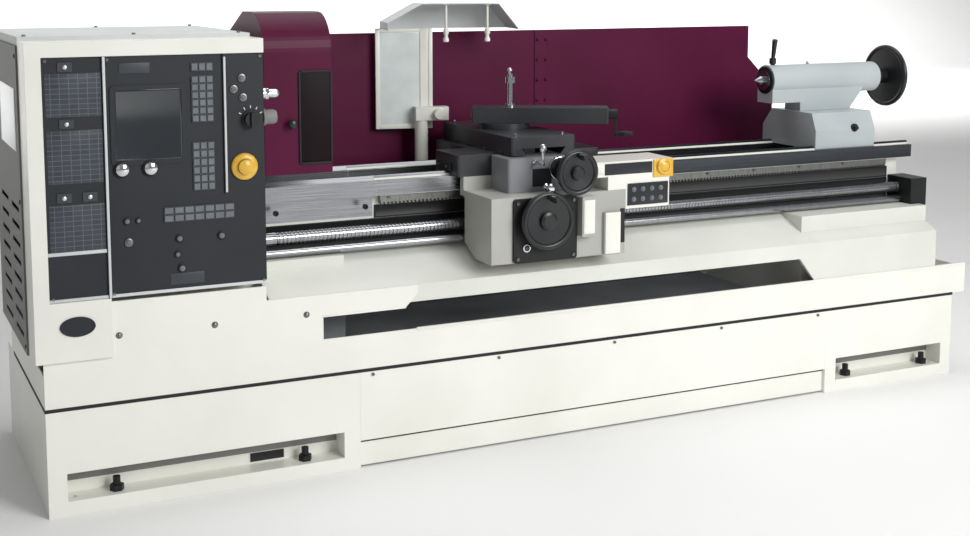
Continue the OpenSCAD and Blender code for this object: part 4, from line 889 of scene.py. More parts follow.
class Hardware:
    """Small standard pieces that several sub-assemblies use."""

    @staticmethod
    def slab(
        name: str, x: Span, y: Span, z: Span, axis: Axis, steps: Sequence[Span], corner: float = 0.0
    ) -> Piece:
        """A block whose face on one side is inset in steps.

        Args:
            name: The piece's name.
            x: Its X planes in mm.
            y: Its Y planes in mm.
            z: Its Z planes in mm.
            axis: The way in which the worked face looks.
            steps: Rim and rise in mm of each inset, from the edge inwards.
            corner: Bevel of the edges in mm, or zero for none.

        Returns:
            The slab.
        """
        piece = Bench.block(name, x, y, z)
        with Edit(piece) as work:
            work.facing(axis)
            for rim, rise in steps:
                work.inset(rim, rise)
        return Bench.soften(piece, corner) if corner else piece

    @staticmethod
    def slabs(name: str, boxes: Sequence[Box], axis: Axis, steps: Sequence[Span], corner: float) -> Piece:
        """Joins slabs of one section, each given by its X, Y and Z planes in mm."""
        return Bench.join(name, [Hardware.slab(name, *box, axis, steps, corner) for box in boxes])

    @staticmethod
    def rimmed(rim: float, depth: float) -> tuple[Span, Span]:
        """Returns a plate's steps: a rim, then a slope to the middle, which lies low if depth is negative."""
        return (rim, 0.0), (max(abs(depth) / 2, SLOPE), depth)

    @staticmethod
    def cap_screw(name: str, place: Place, radius: float, axis: Axis) -> Piece:
        """A socket-head cap screw: rim, soft edge and sunk socket, sized in shares of the head's radius.

        Args:
            name: The piece's name.
            place: Where its head meets the work, in mm.
            radius: Radius of the head in mm.
            axis: The way in which the head stands.

        Returns:
            The screw.
        """
        piece = Bench.bar(name, place, radius, radius * 0.9, axis, 24)
        with Edit(piece) as work:
            work.farthest(axis).inset(radius * 0.12, radius * 0.1).inset(radius * 0.3)
            work.push(axis, -radius * 0.6)
        return Bench.smooth(piece, MACHINED)

    @staticmethod
    def ring(name: str, place: Place, outer: float, inner: float, length: float, axis: Axis) -> Piece:
        """A turned ring with a rounded outer shoulder.

        Args:
            name: The piece's name.
            place: Where it meets the panel, in mm.
            outer: Outer radius in mm.
            inner: Inner radius in mm.
            length: Length in mm.
            axis: The way in which it stands.

        Returns:
            The ring.
        """
        step = min((outer - inner) / 3, length / 2)
        outline = [
            (inner, 0), (outer, 0), (outer, length - step), (outer - step * 0.3, length - step * 0.3),
            (outer - step, length), (inner, length), (inner, 0),
        ]
        return Bench.spun(name, place, outline, axis)

    @staticmethod
    def dial(name: str, place: Place, radius: float, length: float, axis: Axis) -> Piece:
        """A graduated collar with a sunk flute at every other division.

        Args:
            name: The piece's name.
            place: Centre of its hidden end in mm.
            radius: Radius in mm.
            length: Length in mm.
            axis: The way in which it faces.

        Returns:
            The dial.
        """
        piece = Bench.bar(name, place, radius, length, axis, round(360 / DIVISION))
        with Edit(piece) as work:
            work.pick(
                lambda f: abs(f.normal.dot(axis.vector)) < 1 - FACING
                and round(math.degrees(axis.angle(f.normal)) / DIVISION) % 2 == 0
            )
            work.inset(0.5, -0.5, True)
            work.farthest(axis).inset(3.0, 1.0)
        return Bench.smooth(piece, KNURLED)


# ---------------------------------------------------------------- sub-assemblies


@dataclass
class SubAssembly:
    """What every sub-assembly shares: the body that it rides on and the names of what it made.

    Attributes:
        body: The CAD body that its pieces ride on.
        made: Names of the pieces, for the log.
    """

    body: str = "base"
    made: list[str] = field(default_factory=list)

    def dress(self, finish: Finish, *nodes: str) -> None:
        """Gives CAD nodes a finish.

        Args:
            finish: The finish.
            nodes: Names of the nodes.
        """
        for name in nodes:
            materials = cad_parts[name].data.materials
            materials.clear()
            materials.append(finish.material())

    def fit(self, piece: Piece, finish: Finish, body: str | None = None, slot: Slot | None = None) -> None:
        """Gives a piece its finish and body.

        Args:
            piece: The piece, in place.
            finish: Its finish.
            body: The body that it rides on, where that isn't the sub-assembly's.
            slot: Not used.
        """
        piece.data.materials.clear()
        piece.data.materials.append(finish.material())
        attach(piece, body or self.body)
        self.made.append(piece.name)

    def plate(
        self, name: str, x: Span, y: Span, z: Span, axis: Axis, rim: float, depth: float, corner: float,
        finish: Finish, body: str | None = None,
    ) -> None:
        """Fits a plate whose face has a rim, and inside it a middle that rises by a depth in mm."""
        self.fit(Hardware.slab(name, x, y, z, axis, Hardware.rimmed(rim, depth), corner), finish, body)

    def turned(
        self, name: str, place: Place, outline: Sequence[Span], axis: Axis, steps: int,
        finish: Finish, body: str | None = None,
    ) -> None:
        """Fits a piece turned to an outline of radius and length in mm, from one pole to the other."""
        self.fit(Bench.spun(name, place, outline, axis, steps), finish, body)

    def cap_screws(
        self, name: str, places: Sequence[Place], radius: float, axis: Axis,
        finish: Finish = Finishes.MILLED, body: str | None = None,
    ) -> None:
        """Fits a row of cap screws, modelled once, where their heads meet the work in mm."""
        screw = Hardware.cap_screw(name, places[0], radius, axis)
        self.fit(Bench.row(screw, places), finish, body)

    def build(self) -> None:
        """Makes and dresses every piece; each sub-assembly has its own."""
        raise NotImplementedError


@dataclass
class Base(SubAssembly):
    """Pedestals, panel, tray and what hangs on them.

    Attributes:
        hem: Span of the rolled hem along the tray's front lip.
        hem_top: Height of the hem's top.
        seam: Heights of the joint between tray and base.
        panel_screws: X places of the centre panel's screws.
    """

    hem: Span = (1036.0, 3140.0)
    hem_top: float = 394.0
    seam: Span = (283.0, 292.5)
    panel_screws: tuple[float, ...] = (900.0, 1300.0, 1700.0, 2100.0, 2490.0)

    def build(self) -> None:
        """Dresses the base and adds its hems, a dark lining and dark strips that are painted shade, and
        screws.
        """
        self.dress(Finishes.ENAMEL_WHITE, "left_pedestal", "right_pedestal", "centre_panel", "chip_tray")
        self.dress(Finishes.MOTOR, "coolant_tank", "drive_motor")
        self.dress(Finishes.BLACKED, "levelling_screws")
        self.dress(Finishes.MILLED, "skirt_bolts")
        self.hems()
        self.liner()
        self.seams()
        self.cap_screws("panel_screws", [(x, 0.0, 274.0) for x in self.panel_screws], 4.5, Axis.FRONT)

    def hems(self) -> None:
        """Rolls the tray's front lip and the skirt's edge."""
        high = (self.hem_top - 9, self.hem_top)
        hem = Hardware.slab("tray_hem", self.hem, (-1.5, 7.0), high, Axis.UP, ((1.5, 1.0),), 1.2)
        self.fit(hem, Finishes.ENAMEL_WHITE)
        edge = Hardware.slab(
            "skirt_edge", (752.0, 1003.0), (-1.5, 6.0), (455.0, 461.0), Axis.FRONT, ((1.0, 0.6),), 0.8
        )
        self.fit(edge, Finishes.ENAMEL_WHITE)

    def liner(self) -> None:
        """Lays a dark lining of painted shade on the tray's floor, up its back and on the bed's left foot."""
        sheets = [
            Hardware.slab("shade_liner_sheet", x, y, z, axis, ((8.0, 0.0), (3.0, -sunk)), 0.5)
            for x, y, z, axis, sunk in (
                ((862.0, 2458.0), (26.0, 640.0), (295.4, 298.4), Axis.UP, 1.2),
                ((862.0, 2458.0), (636.0, 638.5), (298.0, 545.0), Axis.FRONT, 1.2),
                ((700.0, 861.5), (118.0, 120.4), (298.6, 545.0), Axis.FRONT, 1.0),
            )
        ]
        self.fit(Bench.join("tray_shade_liner", sheets), Finishes.SHADE_LINER)

    def seams(self) -> None:
        """Presses in strips of painted shadow along the joints, the left toe recess's grommet, and strips of
        painted shade in the recesses.
        """
        # Dark strips in the tray's joint and the plinth's step: painted shadow of the gaps
        strips = [
            Hardware.slab("seam_shadow_strip", x, y, z, way, ((1.2, -0.4),))
            for x, y, z, way in (
                ((-0.9, 3085.9), (-0.9, 4.0), self.seam, Axis.FRONT),
                ((-0.9, 4.0), (-0.9, 620.0), self.seam, Axis.LEFT),
                ((3081.0, 3085.9), (-0.9, 620.0), self.seam, Axis.RIGHT),
                ((861.5, 2527.5), (9.0, 12.5), (76.0, 84.0), Axis.FRONT),
            )
        ]
        self.fit(Bench.join("seam_shadow_strips", strips), Finishes.RUBBER)
        self.plate(
            "recess_grommet", (557, 654), (66.0, 70.0), (46, 70), Axis.FRONT, 5.0, -1.5, 2.0, Finishes.RUBBER
        )
        # Grey strips at the top of each toe recess's back wall: painted shade under the recess's top
        for name, x in (("left_recess_shade_strip", (49.4, 811.6)), ("right_recess_shade_strip", (2573.4, 3039.6))):
            strip = Hardware.slab(name, x, (67.0, 70.4), (73.0, 114.6), Axis.FRONT, ((2.0, 0.6),), 0.8)
            self.fit(strip, Finishes.POWDER_MID)


@dataclass
class Bed(SubAssembly):
    """The bed casting, its gap bridge, rack and shafts.

    Attributes:
        run: X span of the ways' ground faces.
        flats: Name and Y span of each flat way.
        skin: How far a flat way's ground face stands off the casting at either side.
        vees: Name and middle Y of each vee guide.
        vee_half: Half the width of a vee at its foot.
        crown: Share of a vee's width that is left at its top.
        rack_screws: First place, pitch and number of the rack's screws.
        bridge_screws: X places of the gap bridge's screws.
        thread_start: Where the lead screw's thread starts.
        pitch: Pitch of the thread.
        crest: Radius of the thread's crest.
        root: Radius of the thread's root.
        turns: Number of turns.
    """

    run: Span = (985.5, 3039.5)
    flats: tuple[tuple[str, Span], ...] = (
        ("front_way_face", (180.0, 280.0)), ("rear_way_face", (420.0, 520.0)),
    )
    skin: float = 0.4
    vees: tuple[tuple[str, float], ...] = (("front_vee_face", 210.0), ("rear_vee_face", 445.0))
    vee_half: float = 15.3
    crown: float = 0.27
    rack_screws: tuple[float, float, int] = (1030.0, 190.0, 10)
    bridge_screws: tuple[float, ...] = (676.0, 949.0)
    thread_start: Place = (670.0, 165.0, 655.0)
    pitch: float = 12.0
    crest: float = 18.0
    root: float = 15.6
    turns: int = 193

    def build(self) -> None:
        """Dresses the bed and adds the way faces, dark plates of painted shade behind the shafts, screws and
        thread.
        """
        self.dress(Finishes.ENAMEL_BED, "bed")
        self.dress(Finishes.GROUND, "gap_bridge")
        self.dress(Finishes.MILLED, "rack")
        self.dress(Finishes.TURNED, "lead_screw", "feed_shaft")
        self.dress(Finishes.BLACKED, "screw_end_bracket")
        self.ways()
        self.backing()
        first, step, number = self.rack_screws
        places = [(first + step * i, 192.0, 746.0) for i in range(number)]
        self.cap_screws("rack_screws", places, 4.5, Axis.FRONT)
        places = [(x, 180.0, 726.0) for x in self.bridge_screws]
        self.cap_screws("bridge_screws", places, 8.0, Axis.FRONT, Finishes.BLACKED)
        self.thread()

    def ways(self) -> None:
        """Lays the ground faces on the slabs: bare metal over the enamelled casting."""
        for name, (near, far) in self.flats:
            y = (near - self.skin, far + self.skin)
            face = Hardware.slab(name, self.run, y, (756.0, 800.04), Axis.FRONT, ((2.0, -0.2),), 0.4)
            self.fit(face, Finishes.GROUND)
        for name, y in self.vees:
            vee = Bench.block(name, self.run, (y - self.vee_half, y + self.vee_half), (799.0, 812.25))
            with Edit(vee) as work:
                work.facing(Axis.UP)
                bpy.ops.transform.resize(value=(1, self.crown, 1), center_override=work.middle())
            self.fit(Bench.soften(vee, 0.5), Finishes.GROUND)

    def backing(self) -> None:
        """Fixes dark plates behind both shafts along the bed's front wall: painted shade where the wall lies
        in shadow.
        """
        lower = Bench.block("shaft_shade_backing", (606.0, 2960.0), (212.6, 215.4), (600.0, 683.0))
        with Edit(lower) as work:
            work.facing(Axis.FRONT).inset(5.0).inset(1.0, -0.8)
            work.facing(Axis.DOWN).push(Axis.DOWN, 4.0)
        upper = Hardware.slab(
            "shaft_shade_backing_upper", (990.0, 2960.0), (212.8, 215.4), (684.0, 723.0), Axis.FRONT,
            ((4.0, 0.0), (1.0, -0.8)), 0.6,
        )
        self.fit(Bench.join("shaft_shade_backing", [Bench.soften(lower, 0.6), upper]), Finishes.BLACKED)

    def thread(self) -> None:
        """Cuts the lead screw's thread as a spiral of real pitch and closes both ends."""
        x, y, z = self.thread_start
        outline = [
            (self.root, 0.0), (self.root, 4.2), (self.crest, 5.4), (self.crest, 10.8), (self.root, self.pitch)
        ]
        piece = Bench.wire("lead_screw_thread", [at(x + h, y, z + r) for r, h in outline])
        piece.data.transform(Matrix.Translation(-at(x, y, z)))
        spiral = piece.modifiers.new("spiral", "SCREW")
        spiral.axis = "X"
        spiral.steps = spiral.render_steps = 16
        spiral.iterations = self.turns
        spiral.screw_offset = self.pitch * MM
        spiral.use_merge_vertices = True
        spiral.merge_threshold = WELD * MM
        Bench.take(piece)
        bpy.ops.object.modifier_apply(modifier=spiral.name)
        piece.data.transform(Matrix.Translation(at(x, y, z)))
        sizes = ((545.0, self.crest, 126.0), (2980.0, self.crest, 56.0), (3036.5, 23.4, 9.5))
        journals = [
            Bench.soften(Bench.bar("journal", (start, y, z), radius, length, Axis.RIGHT), 1.0)
            for start, radius, length in sizes
        ]
        whole = Bench.smooth(Bench.join("lead_screw_thread", [piece, *journals]), MACHINED)
        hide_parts("lead_screw")
        self.fit(whole, Finishes.TURNED, "lead_screw")


@dataclass
class Headstock(SubAssembly):
    """Housing, covers, spindle and the drive behind the end cover.

    Attributes:
        cover_screws: X and Y places of the top cover's screws.
        louvre_cols: Middle Y of each column of louvres.
        louvre_size: Width and height of a blade.
        louvre_first: Height of the lowest slot.
        louvre_pitch: Step between slots.
        louvre_rows: Number of slots in a column.
    """

    cover_screws: tuple[Span, ...] = ((0, 130), (280, 130), (565, 130), (0, 680), (280, 680), (565, 680))
    louvre_cols: Span = (243.0, 463.0)
    louvre_size: Span = (150.0, 14.0)
    louvre_first: float = 445.0
    louvre_pitch: float = 48.0
    louvre_rows: int = 8

    def build(self) -> None:
        """Dresses the headstock and adds screws, louvre blades, a plate and the cabinet's fittings."""
        self.dress(Finishes.ENAMEL_WHITE, "headstock_housing", "feed_gearbox")
        self.dress(Finishes.POWDER_PALE, "headstock_cover", "electrical_cabinet", "cabinet_door")
        self.dress(Finishes.POWDER_MID, "end_cover")
        self.dress(Finishes.TURNED, "spindle_bearings", "spindle", "chuck_body")
        self.dress(Finishes.MILLED, "chuck_jaw_1", "chuck_jaw_2", "chuck_jaw_3")
        self.dress(Finishes.MOTOR, "spindle_pulley", "motor_pulley")
        self.dress(Finishes.RUBBER, "drive_belt")
        self.cap_screws("cover_screws", [(x, y, 1245.0) for x, y in self.cover_screws], 5.0, Axis.UP)
        self.louvres()
        self.cabinet()
        self.motor()

    def louvres(self) -> None:
        """Sets a raked blade in each slot of the end cover, and adds its plate and screws."""
        (near, far), (wide, high), low = self.louvre_cols, self.louvre_size, self.louvre_first
        across = (near - wide / 2, near + wide / 2)
        blade = Bench.block("louvre_blades", (-23.6, -22.2), across, (low, low + high))
        with Edit(blade) as work:
            work.facing(Axis.DOWN).shift(Axis.RIGHT, 9.0)
            work.facing(Axis.UP).inset(0.3, 0.3)
        places = [(0, y, self.louvre_pitch * r) for y in (near, far) for r in range(self.louvre_rows)]
        self.fit(Bench.row(blade, places), Finishes.POWDER_MID, "end_cover")
        self.plate(
            "end_cover_plate", (-25.2, -23.8), (166, 476), (944, 1109), Axis.LEFT, 4, 0.4, 0.4,
            Finishes.BARE_PLATE, "end_cover",
        )
        places = [(-20.2, 135.0, z) for z in (1195.0, 815.0, 430.0)]
        self.cap_screws("end_cover_screws", places, 6.0, Axis.LEFT, Finishes.BLACKED, "end_cover")

    def cabinet(self) -> None:
        """Adds the cabinet door's hinge leaves, vent and flush latch."""
        leaf = Hardware.slab(
            "cabinet_hinges", (42.0, 66.0), (866.0, 868.4), (380.0, 450.0), Axis.BACK, ((1.5, 0.5),), 0.6
        )
        leaves = Bench.row(leaf, [(0, 0, 0), (0, 0, 345), (0, 0, 690)])
        self.fit(leaves, Finishes.BLACKED, "door")
        vent = Bench.block("door_vent", (180, 460), (866.4, 868.9), (360, 480))
        with Edit(vent) as work:
            work.facing(Axis.BACK).inset(4.4).cut(7)
            work.inset(2.2, 0.0, True).inset(0.4, -0.7, True)
        self.fit(Bench.smooth(vent, MACHINED), Finishes.POWDER_PALE, "door")
        grip = Hardware.slab(
            "door_handle", (548, 572), (865, 868.4), (700, 818), Axis.BACK, ((3.0, 0.5), (2.5, -0.4)), 0.6
        )
        self.fit(grip, Finishes.MOULDED, "door")

    def motor(self) -> None:
        """Adds the motor's terminal box and the grille of its fan cowl."""
        self.plate(
            "terminal_box", (200, 300), (410, 490), (571, 600), Axis.UP, 6, 3.0, 2.0, Finishes.MOTOR
        )
        cowl = Bench.bar("fan_cowl", (419.0, 450.0, 490.0), 76.0, 20.0, Axis.RIGHT, 40)
        with Edit(cowl) as work:
            work.farthest(Axis.RIGHT).inset(8.0, 4.0).inset(10.0, -3.0).inset(12.0, 3.0).inset(12.0, -3.0)
        self.fit(Bench.smooth(cowl, MACHINED), Finishes.MOTOR)


@dataclass
class ControlPanel(SubAssembly):
    """The control box in front of the headstock with its dark fascia.

    Attributes:
        face: Y of the fascia's face.
        screen: X and Z spans of the glass.
        charts: X and Z spans of the ruled charts.
        plain: Name, X and Z spans of the plain plates.
        pads: X and Z spans of the keypads, with the number of key columns and rows.
        gap: Half the gap between keys in X and in Z.
        domes: X and Z of the small bright buttons on the pads.
        lamps: X, Z and radius of the small round controls.
        dark_collars: Number of those controls, from the first, whose collar is dark.
        bore: Inner radius of a control's collar as a share of its outer one.
        cap: Radius of a control's cap as a share of the collar's.
        oval: Middle of the oval plate.
        flat: Height of the oval plate as a share of its width.
        corners: X and Z of the fascia's screws.
    """

    face: float = -6.0
    screen: tuple[Span, Span] = ((197.0, 371.0), (925.0, 1110.0))
    charts: tuple[tuple[Span, Span], ...] = (
        ((28, 166), (1046, 1156)), ((28, 166), (876, 1012)), ((28, 166), (700, 822)),
    )
    plain: tuple[tuple[str, Span, Span], ...] = (
        ("name_place_bare", (212, 290), (1152, 1178)), ("lower_place_bare", (330, 420), (590, 620)),
    )
    pads: tuple[tuple[Span, Span, int, int], ...] = (
        ((396, 455), (1152, 1175), 3, 1), ((396, 455), (1018, 1141), 3, 6), ((396, 455), (837, 967), 3, 6),
        ((316, 505), (758, 799), 7, 2),
    )
    gap: Span = (2.0, 2.5)
    domes: tuple[Span, ...] = ((78, 1172), (78, 1028), (66, 840), (130, 840))
    lamps: tuple[Place, ...] = (
        (221, 769, 10), (250, 769, 8), (356, 713, 11), (350, 671, 9), (361, 633, 12), (469, 712, 12),
        (532, 1131, 11), (510, 1102, 11), (535, 1079, 11), (224, 713, 11),
    )
    dark_collars: int = 6
    bore: float = 0.6
    cap: float = 0.62
    oval: Place = (87.0, -12.0, 506.0)
    flat: float = 0.58
    corners: tuple[Span, ...] = ((30, 1188), (183, 1188), (583, 1188), (583, 581), (183, 581), (30, 581))

    def build(self) -> None:
        """Dresses the box and adds everything on its fascia."""
        self.dress(Finishes.ENAMEL_WHITE, "control_box")
        self.dress(Finishes.FASCIA, "panel_fascia")
        self.dress(Finishes.OVERLAY, "membrane_keypads")
        self.dress(Finishes.CHROME, "start_button", "stop_button")
        self.dress(Finishes.YELLOW, "panel_estop")
        self.dress(Finishes.MOULDED, "panel_selector")
        x, z = self.screen
        self.plate("display_glass", x, self.sheet(1.6), z, Axis.FRONT, 5.0, -0.5, 0.4, Finishes.GLASS)
        self.trims()
        self.plates()
        self.keys()
        self.lights()
        self.switches()
        self.fittings()

    def sheet(self, thick: float) -> Span:
        """Returns the Y planes of a sheet of some thickness in mm on the fascia."""
        return self.face - thick, self.face

    def trims(self) -> None:
        """Lays the pale trims that part the fascia, and the oval plate below it."""
        boxes = (
            ((169.5, 176.5), (-13.2, -11.9), (571.5, 1196.5)),
            ((482.0, 488.0), (-13.2, -11.9), (828.0, 1188.5)),
            ((20.5, 168.0), self.sheet(3.0), (692.0, 701.0)),
            ((20.5, 591.5), self.sheet(3.0), (571.5, 580.0)),
        )
        trims = Hardware.slabs("fascia_trims", boxes, Axis.FRONT, ((1.5, 0.5),), 0.5)
        self.fit(trims, Finishes.POWDER_PALE)
        oval = Bench.bar("oval_plate", self.oval, 45.0, 2.4, Axis.FRONT, 64)
        with Edit(oval) as work:
            bpy.ops.transform.resize(value=(1.0, 1.0, self.flat), center_override=at(*self.oval))
            work.farthest(Axis.FRONT).inset(3.0).inset(0.8, -0.8)
        self.fit(Bench.smooth(oval, SOFTENED), Finishes.FASCIA)

    def plates(self) -> None:
        """Adds the ruled charts and the plain plates."""
        for i, (x, z) in enumerate(self.charts, 1):
            self.plate(f"chart_{i}", x, self.sheet(0.9), z, Axis.FRONT, 2.0, 0.2, 0.2, Finishes.CHART)
        for name, x, z in self.plain:
            self.plate(name, x, self.sheet(1.0), z, Axis.FRONT, 2.5, 0.3, 0.3, Finishes.OVERLAY)

    def keys(self) -> None:
        """Models one soft key and copies it over every keypad, then adds the small bright buttons."""
        side, end = self.gap
        for i, (x, z, columns, rows) in enumerate(self.pads, 1):
            wide, high = (x[1] - x[0]) / columns, (z[1] - z[0]) / rows
            across, up = (x[0] + side, x[0] + wide - side), (z[0] + end, z[0] + high - end)
            key = Hardware.slab(
                f"keys_{i}", across, (-11.4, -8.8), up, Axis.FRONT, ((1.4, 0.9), (2.0, -0.3)), 0.6
            )
            places = [(c * wide, 0, r * high) for c in range(columns) for r in range(rows)]
            self.fit(Bench.row(key, places), Finishes.KEY)
        outline = [(0, 4), (3.5, 3.5), (5.5, 2.2), (6, 0), (0, 0)]
        for i, (x, z) in enumerate(self.domes, 1):
            dome = Bench.spun(f"pad_button_{i}", (x, -9.0, z), outline, Axis.FRONT, 24)
            self.fit(dome, Finishes.BARE_PLATE, slot=Slot.CHROME)

    def lights(self) -> None:
        """Adds the small round controls, each a collar with a cap in it."""
        for i, (x, z, radius) in enumerate(self.lamps, 1):
            place, cap = (x, self.face, z), radius * self.cap
            collar = Hardware.ring(f"control_collar_{i}", place, radius, radius * self.bore, 4.0, Axis.FRONT)
            if i > self.dark_collars:
                self.fit(collar, Finishes.MILLED, slot=Slot.CHROME)
            else:
                self.fit(collar, Finishes.BLACKED)
            outline = [(0, 9), (radius * 0.45, 8.4), (cap, 7), (cap, 0), (0, 0)]
            self.turned(f"control_cap_{i}", place, outline, Axis.FRONT, 24, Finishes.KEY)

    def switches(self) -> None:
        """Adds the rings round the push buttons and the stop, and the selector's ticks."""
        for name, x in (("start_ring", 212), ("stop_ring", 285)):
            ring = Hardware.ring(name, (x, self.face, 905), 21.0, 17.7, 7.5, Axis.FRONT)
            self.fit(ring, Finishes.BLACKED)
        outline = [(21.0, 0), (36, 0), (36, 6), (34.5, 8), (26, 11.5), (21.0, 11.5), (21.0, 0)]
        self.turned("stop_escutcheon", (535, self.face, 894), outline, Axis.FRONT, 48, Finishes.YELLOW)
        tick = Hardware.slab(
            "selector_tick", (553.6, 556.4), (-7.0, -5.9), (1049, 1057), Axis.FRONT, ((0.5, 0.3),)
        )
        ticks = [Bench.copy(tick, around((555, self.face, 1020), turn, "Y")) for turn in range(-60, 61, 30)]
        bpy.data.objects.remove(tick)
        self.fit(Bench.join("selector_ticks", ticks), Finishes.BARE_PLATE, slot=Slot.CHROME)

    def fittings(self) -> None:
        """Adds the chrome gland and grey coupling at the box's right side, and the fascia's screws."""
        outline = [(0, 0), (16, 0), (16, 8), (12.5, 10), (12.5, 38), (11, 44), (8, 47), (0, 47)]
        self.turned("cable_gland", (592, 12, 1085), outline, Axis.RIGHT, 24, Finishes.CHROME)
        nut = Bench.bar("gland_nut", (600, 12, 1085), 17.0, 9.0, Axis.RIGHT, 6)
        with Edit(nut) as work:
            work.farthest(Axis.RIGHT).inset(3.0, 1.5)
        self.fit(Bench.soften(nut, 0.8), Finishes.CHROME)
        outline = [(0, 0), (24, 0), (24, 6), (20, 9), (20, 30), (17, 38), (0, 40)]
        self.turned("grey_coupling", (592, 12, 1022), outline, Axis.RIGHT, 32, Finishes.POWDER_MID)
        self.cap_screws("fascia_screws", [(x, self.face, z) for x, z in self.corners], 4.0, Axis.FRONT)


@dataclass
class Guards(SubAssembly):
    """Chuck guard and splash guard.

    Attributes:
        rivets: Heights of the rivets down the joint strap.
    """

    rivets: tuple[float, ...] = (830, 900, 970, 1040, 1110, 1180)

    def build(self) -> None:
        """Dresses the guards and adds the pane, beading, hinge, knob and rivets."""
        self.dress(Finishes.BURGUNDY, "chuck_guard", "splash_guard")
        # The window's opaque near-black pane is painted shade
        self.plate(
            "guard_pane", (744, 838), (147.2, 150.0), (872, 1128), Axis.FRONT, 3.0, 0.3, 0.5,
            Finishes.SHADE_PANE, "chuck_guard",
        )
        self.beading()
        outline = [(10.2, 0), (16, 0), (16, 10), (14, 12), (10.2, 12), (10.2, 0)]
        self.turned("guard_hinge_knuckle", (640.5, 555, 1177), outline, Axis.LEFT, 24, Finishes.BLACKED)
        outline = [(0, 0), (6, 0), (6, 10), (12, 14), (14, 20), (11, 27), (5, 30), (0, 30.5)]
        self.turned("guard_knob", (716, 150, 985), outline, Axis.FRONT, 24, Finishes.MOULDED, "chuck_guard")
        places = [(x, 645.6, z) for x in (1770, 1804) for z in self.rivets]
        outline = [(0, 2.4), (3, 2), (5, 0.6), (5.2, 0), (0, 0)]
        rivet = Bench.spun("strap_rivets", places[0], outline, Axis.FRONT, 12)
        self.fit(Bench.row(rivet, places), Finishes.BURGUNDY)
        self.back()

    def beading(self) -> None:
        """Runs a rubber beading round the guard's window."""
        deep = (145.4, 150)
        boxes = (
            ((740, 746), deep, (870, 1130)), ((834, 840), deep, (870, 1130)),
            ((746, 834), deep, (866, 872)), ((746, 834), deep, (1128, 1134)),
        )
        beading = Hardware.slabs("window_beading", boxes, Axis.FRONT, ((1.4, 0.8),), 0.6)
        self.fit(beading, Finishes.RUBBER, "chuck_guard")

    def back(self) -> None:
        """Stiffens the splash guard's back with two folded ribs, and bolts the tray's wall to it."""
        steps = ((6.0, 0.0), (1.5, -3.0))
        rib = Hardware.slab("rear_ribs", (1180, 1220), (655.8, 666.5), (430, 1208), Axis.BACK, steps, 1.2)
        self.fit(Bench.row(rib, [(0, 0, 0), (1000, 0, 0)]), Finishes.BURGUNDY)
        bolt = Bench.bar("tray_wall_bolts", (700, 659.8, 330), 8.0, 6.0, Axis.BACK, 6)
        with Edit(bolt) as work:
            work.farthest(Axis.BACK).inset(1.5, 1.0)
        places = [(500 * i, 0, 0) for i in range(5)]
        self.fit(Bench.row(Bench.smooth(bolt, KNURLED), places), Finishes.MILLED)


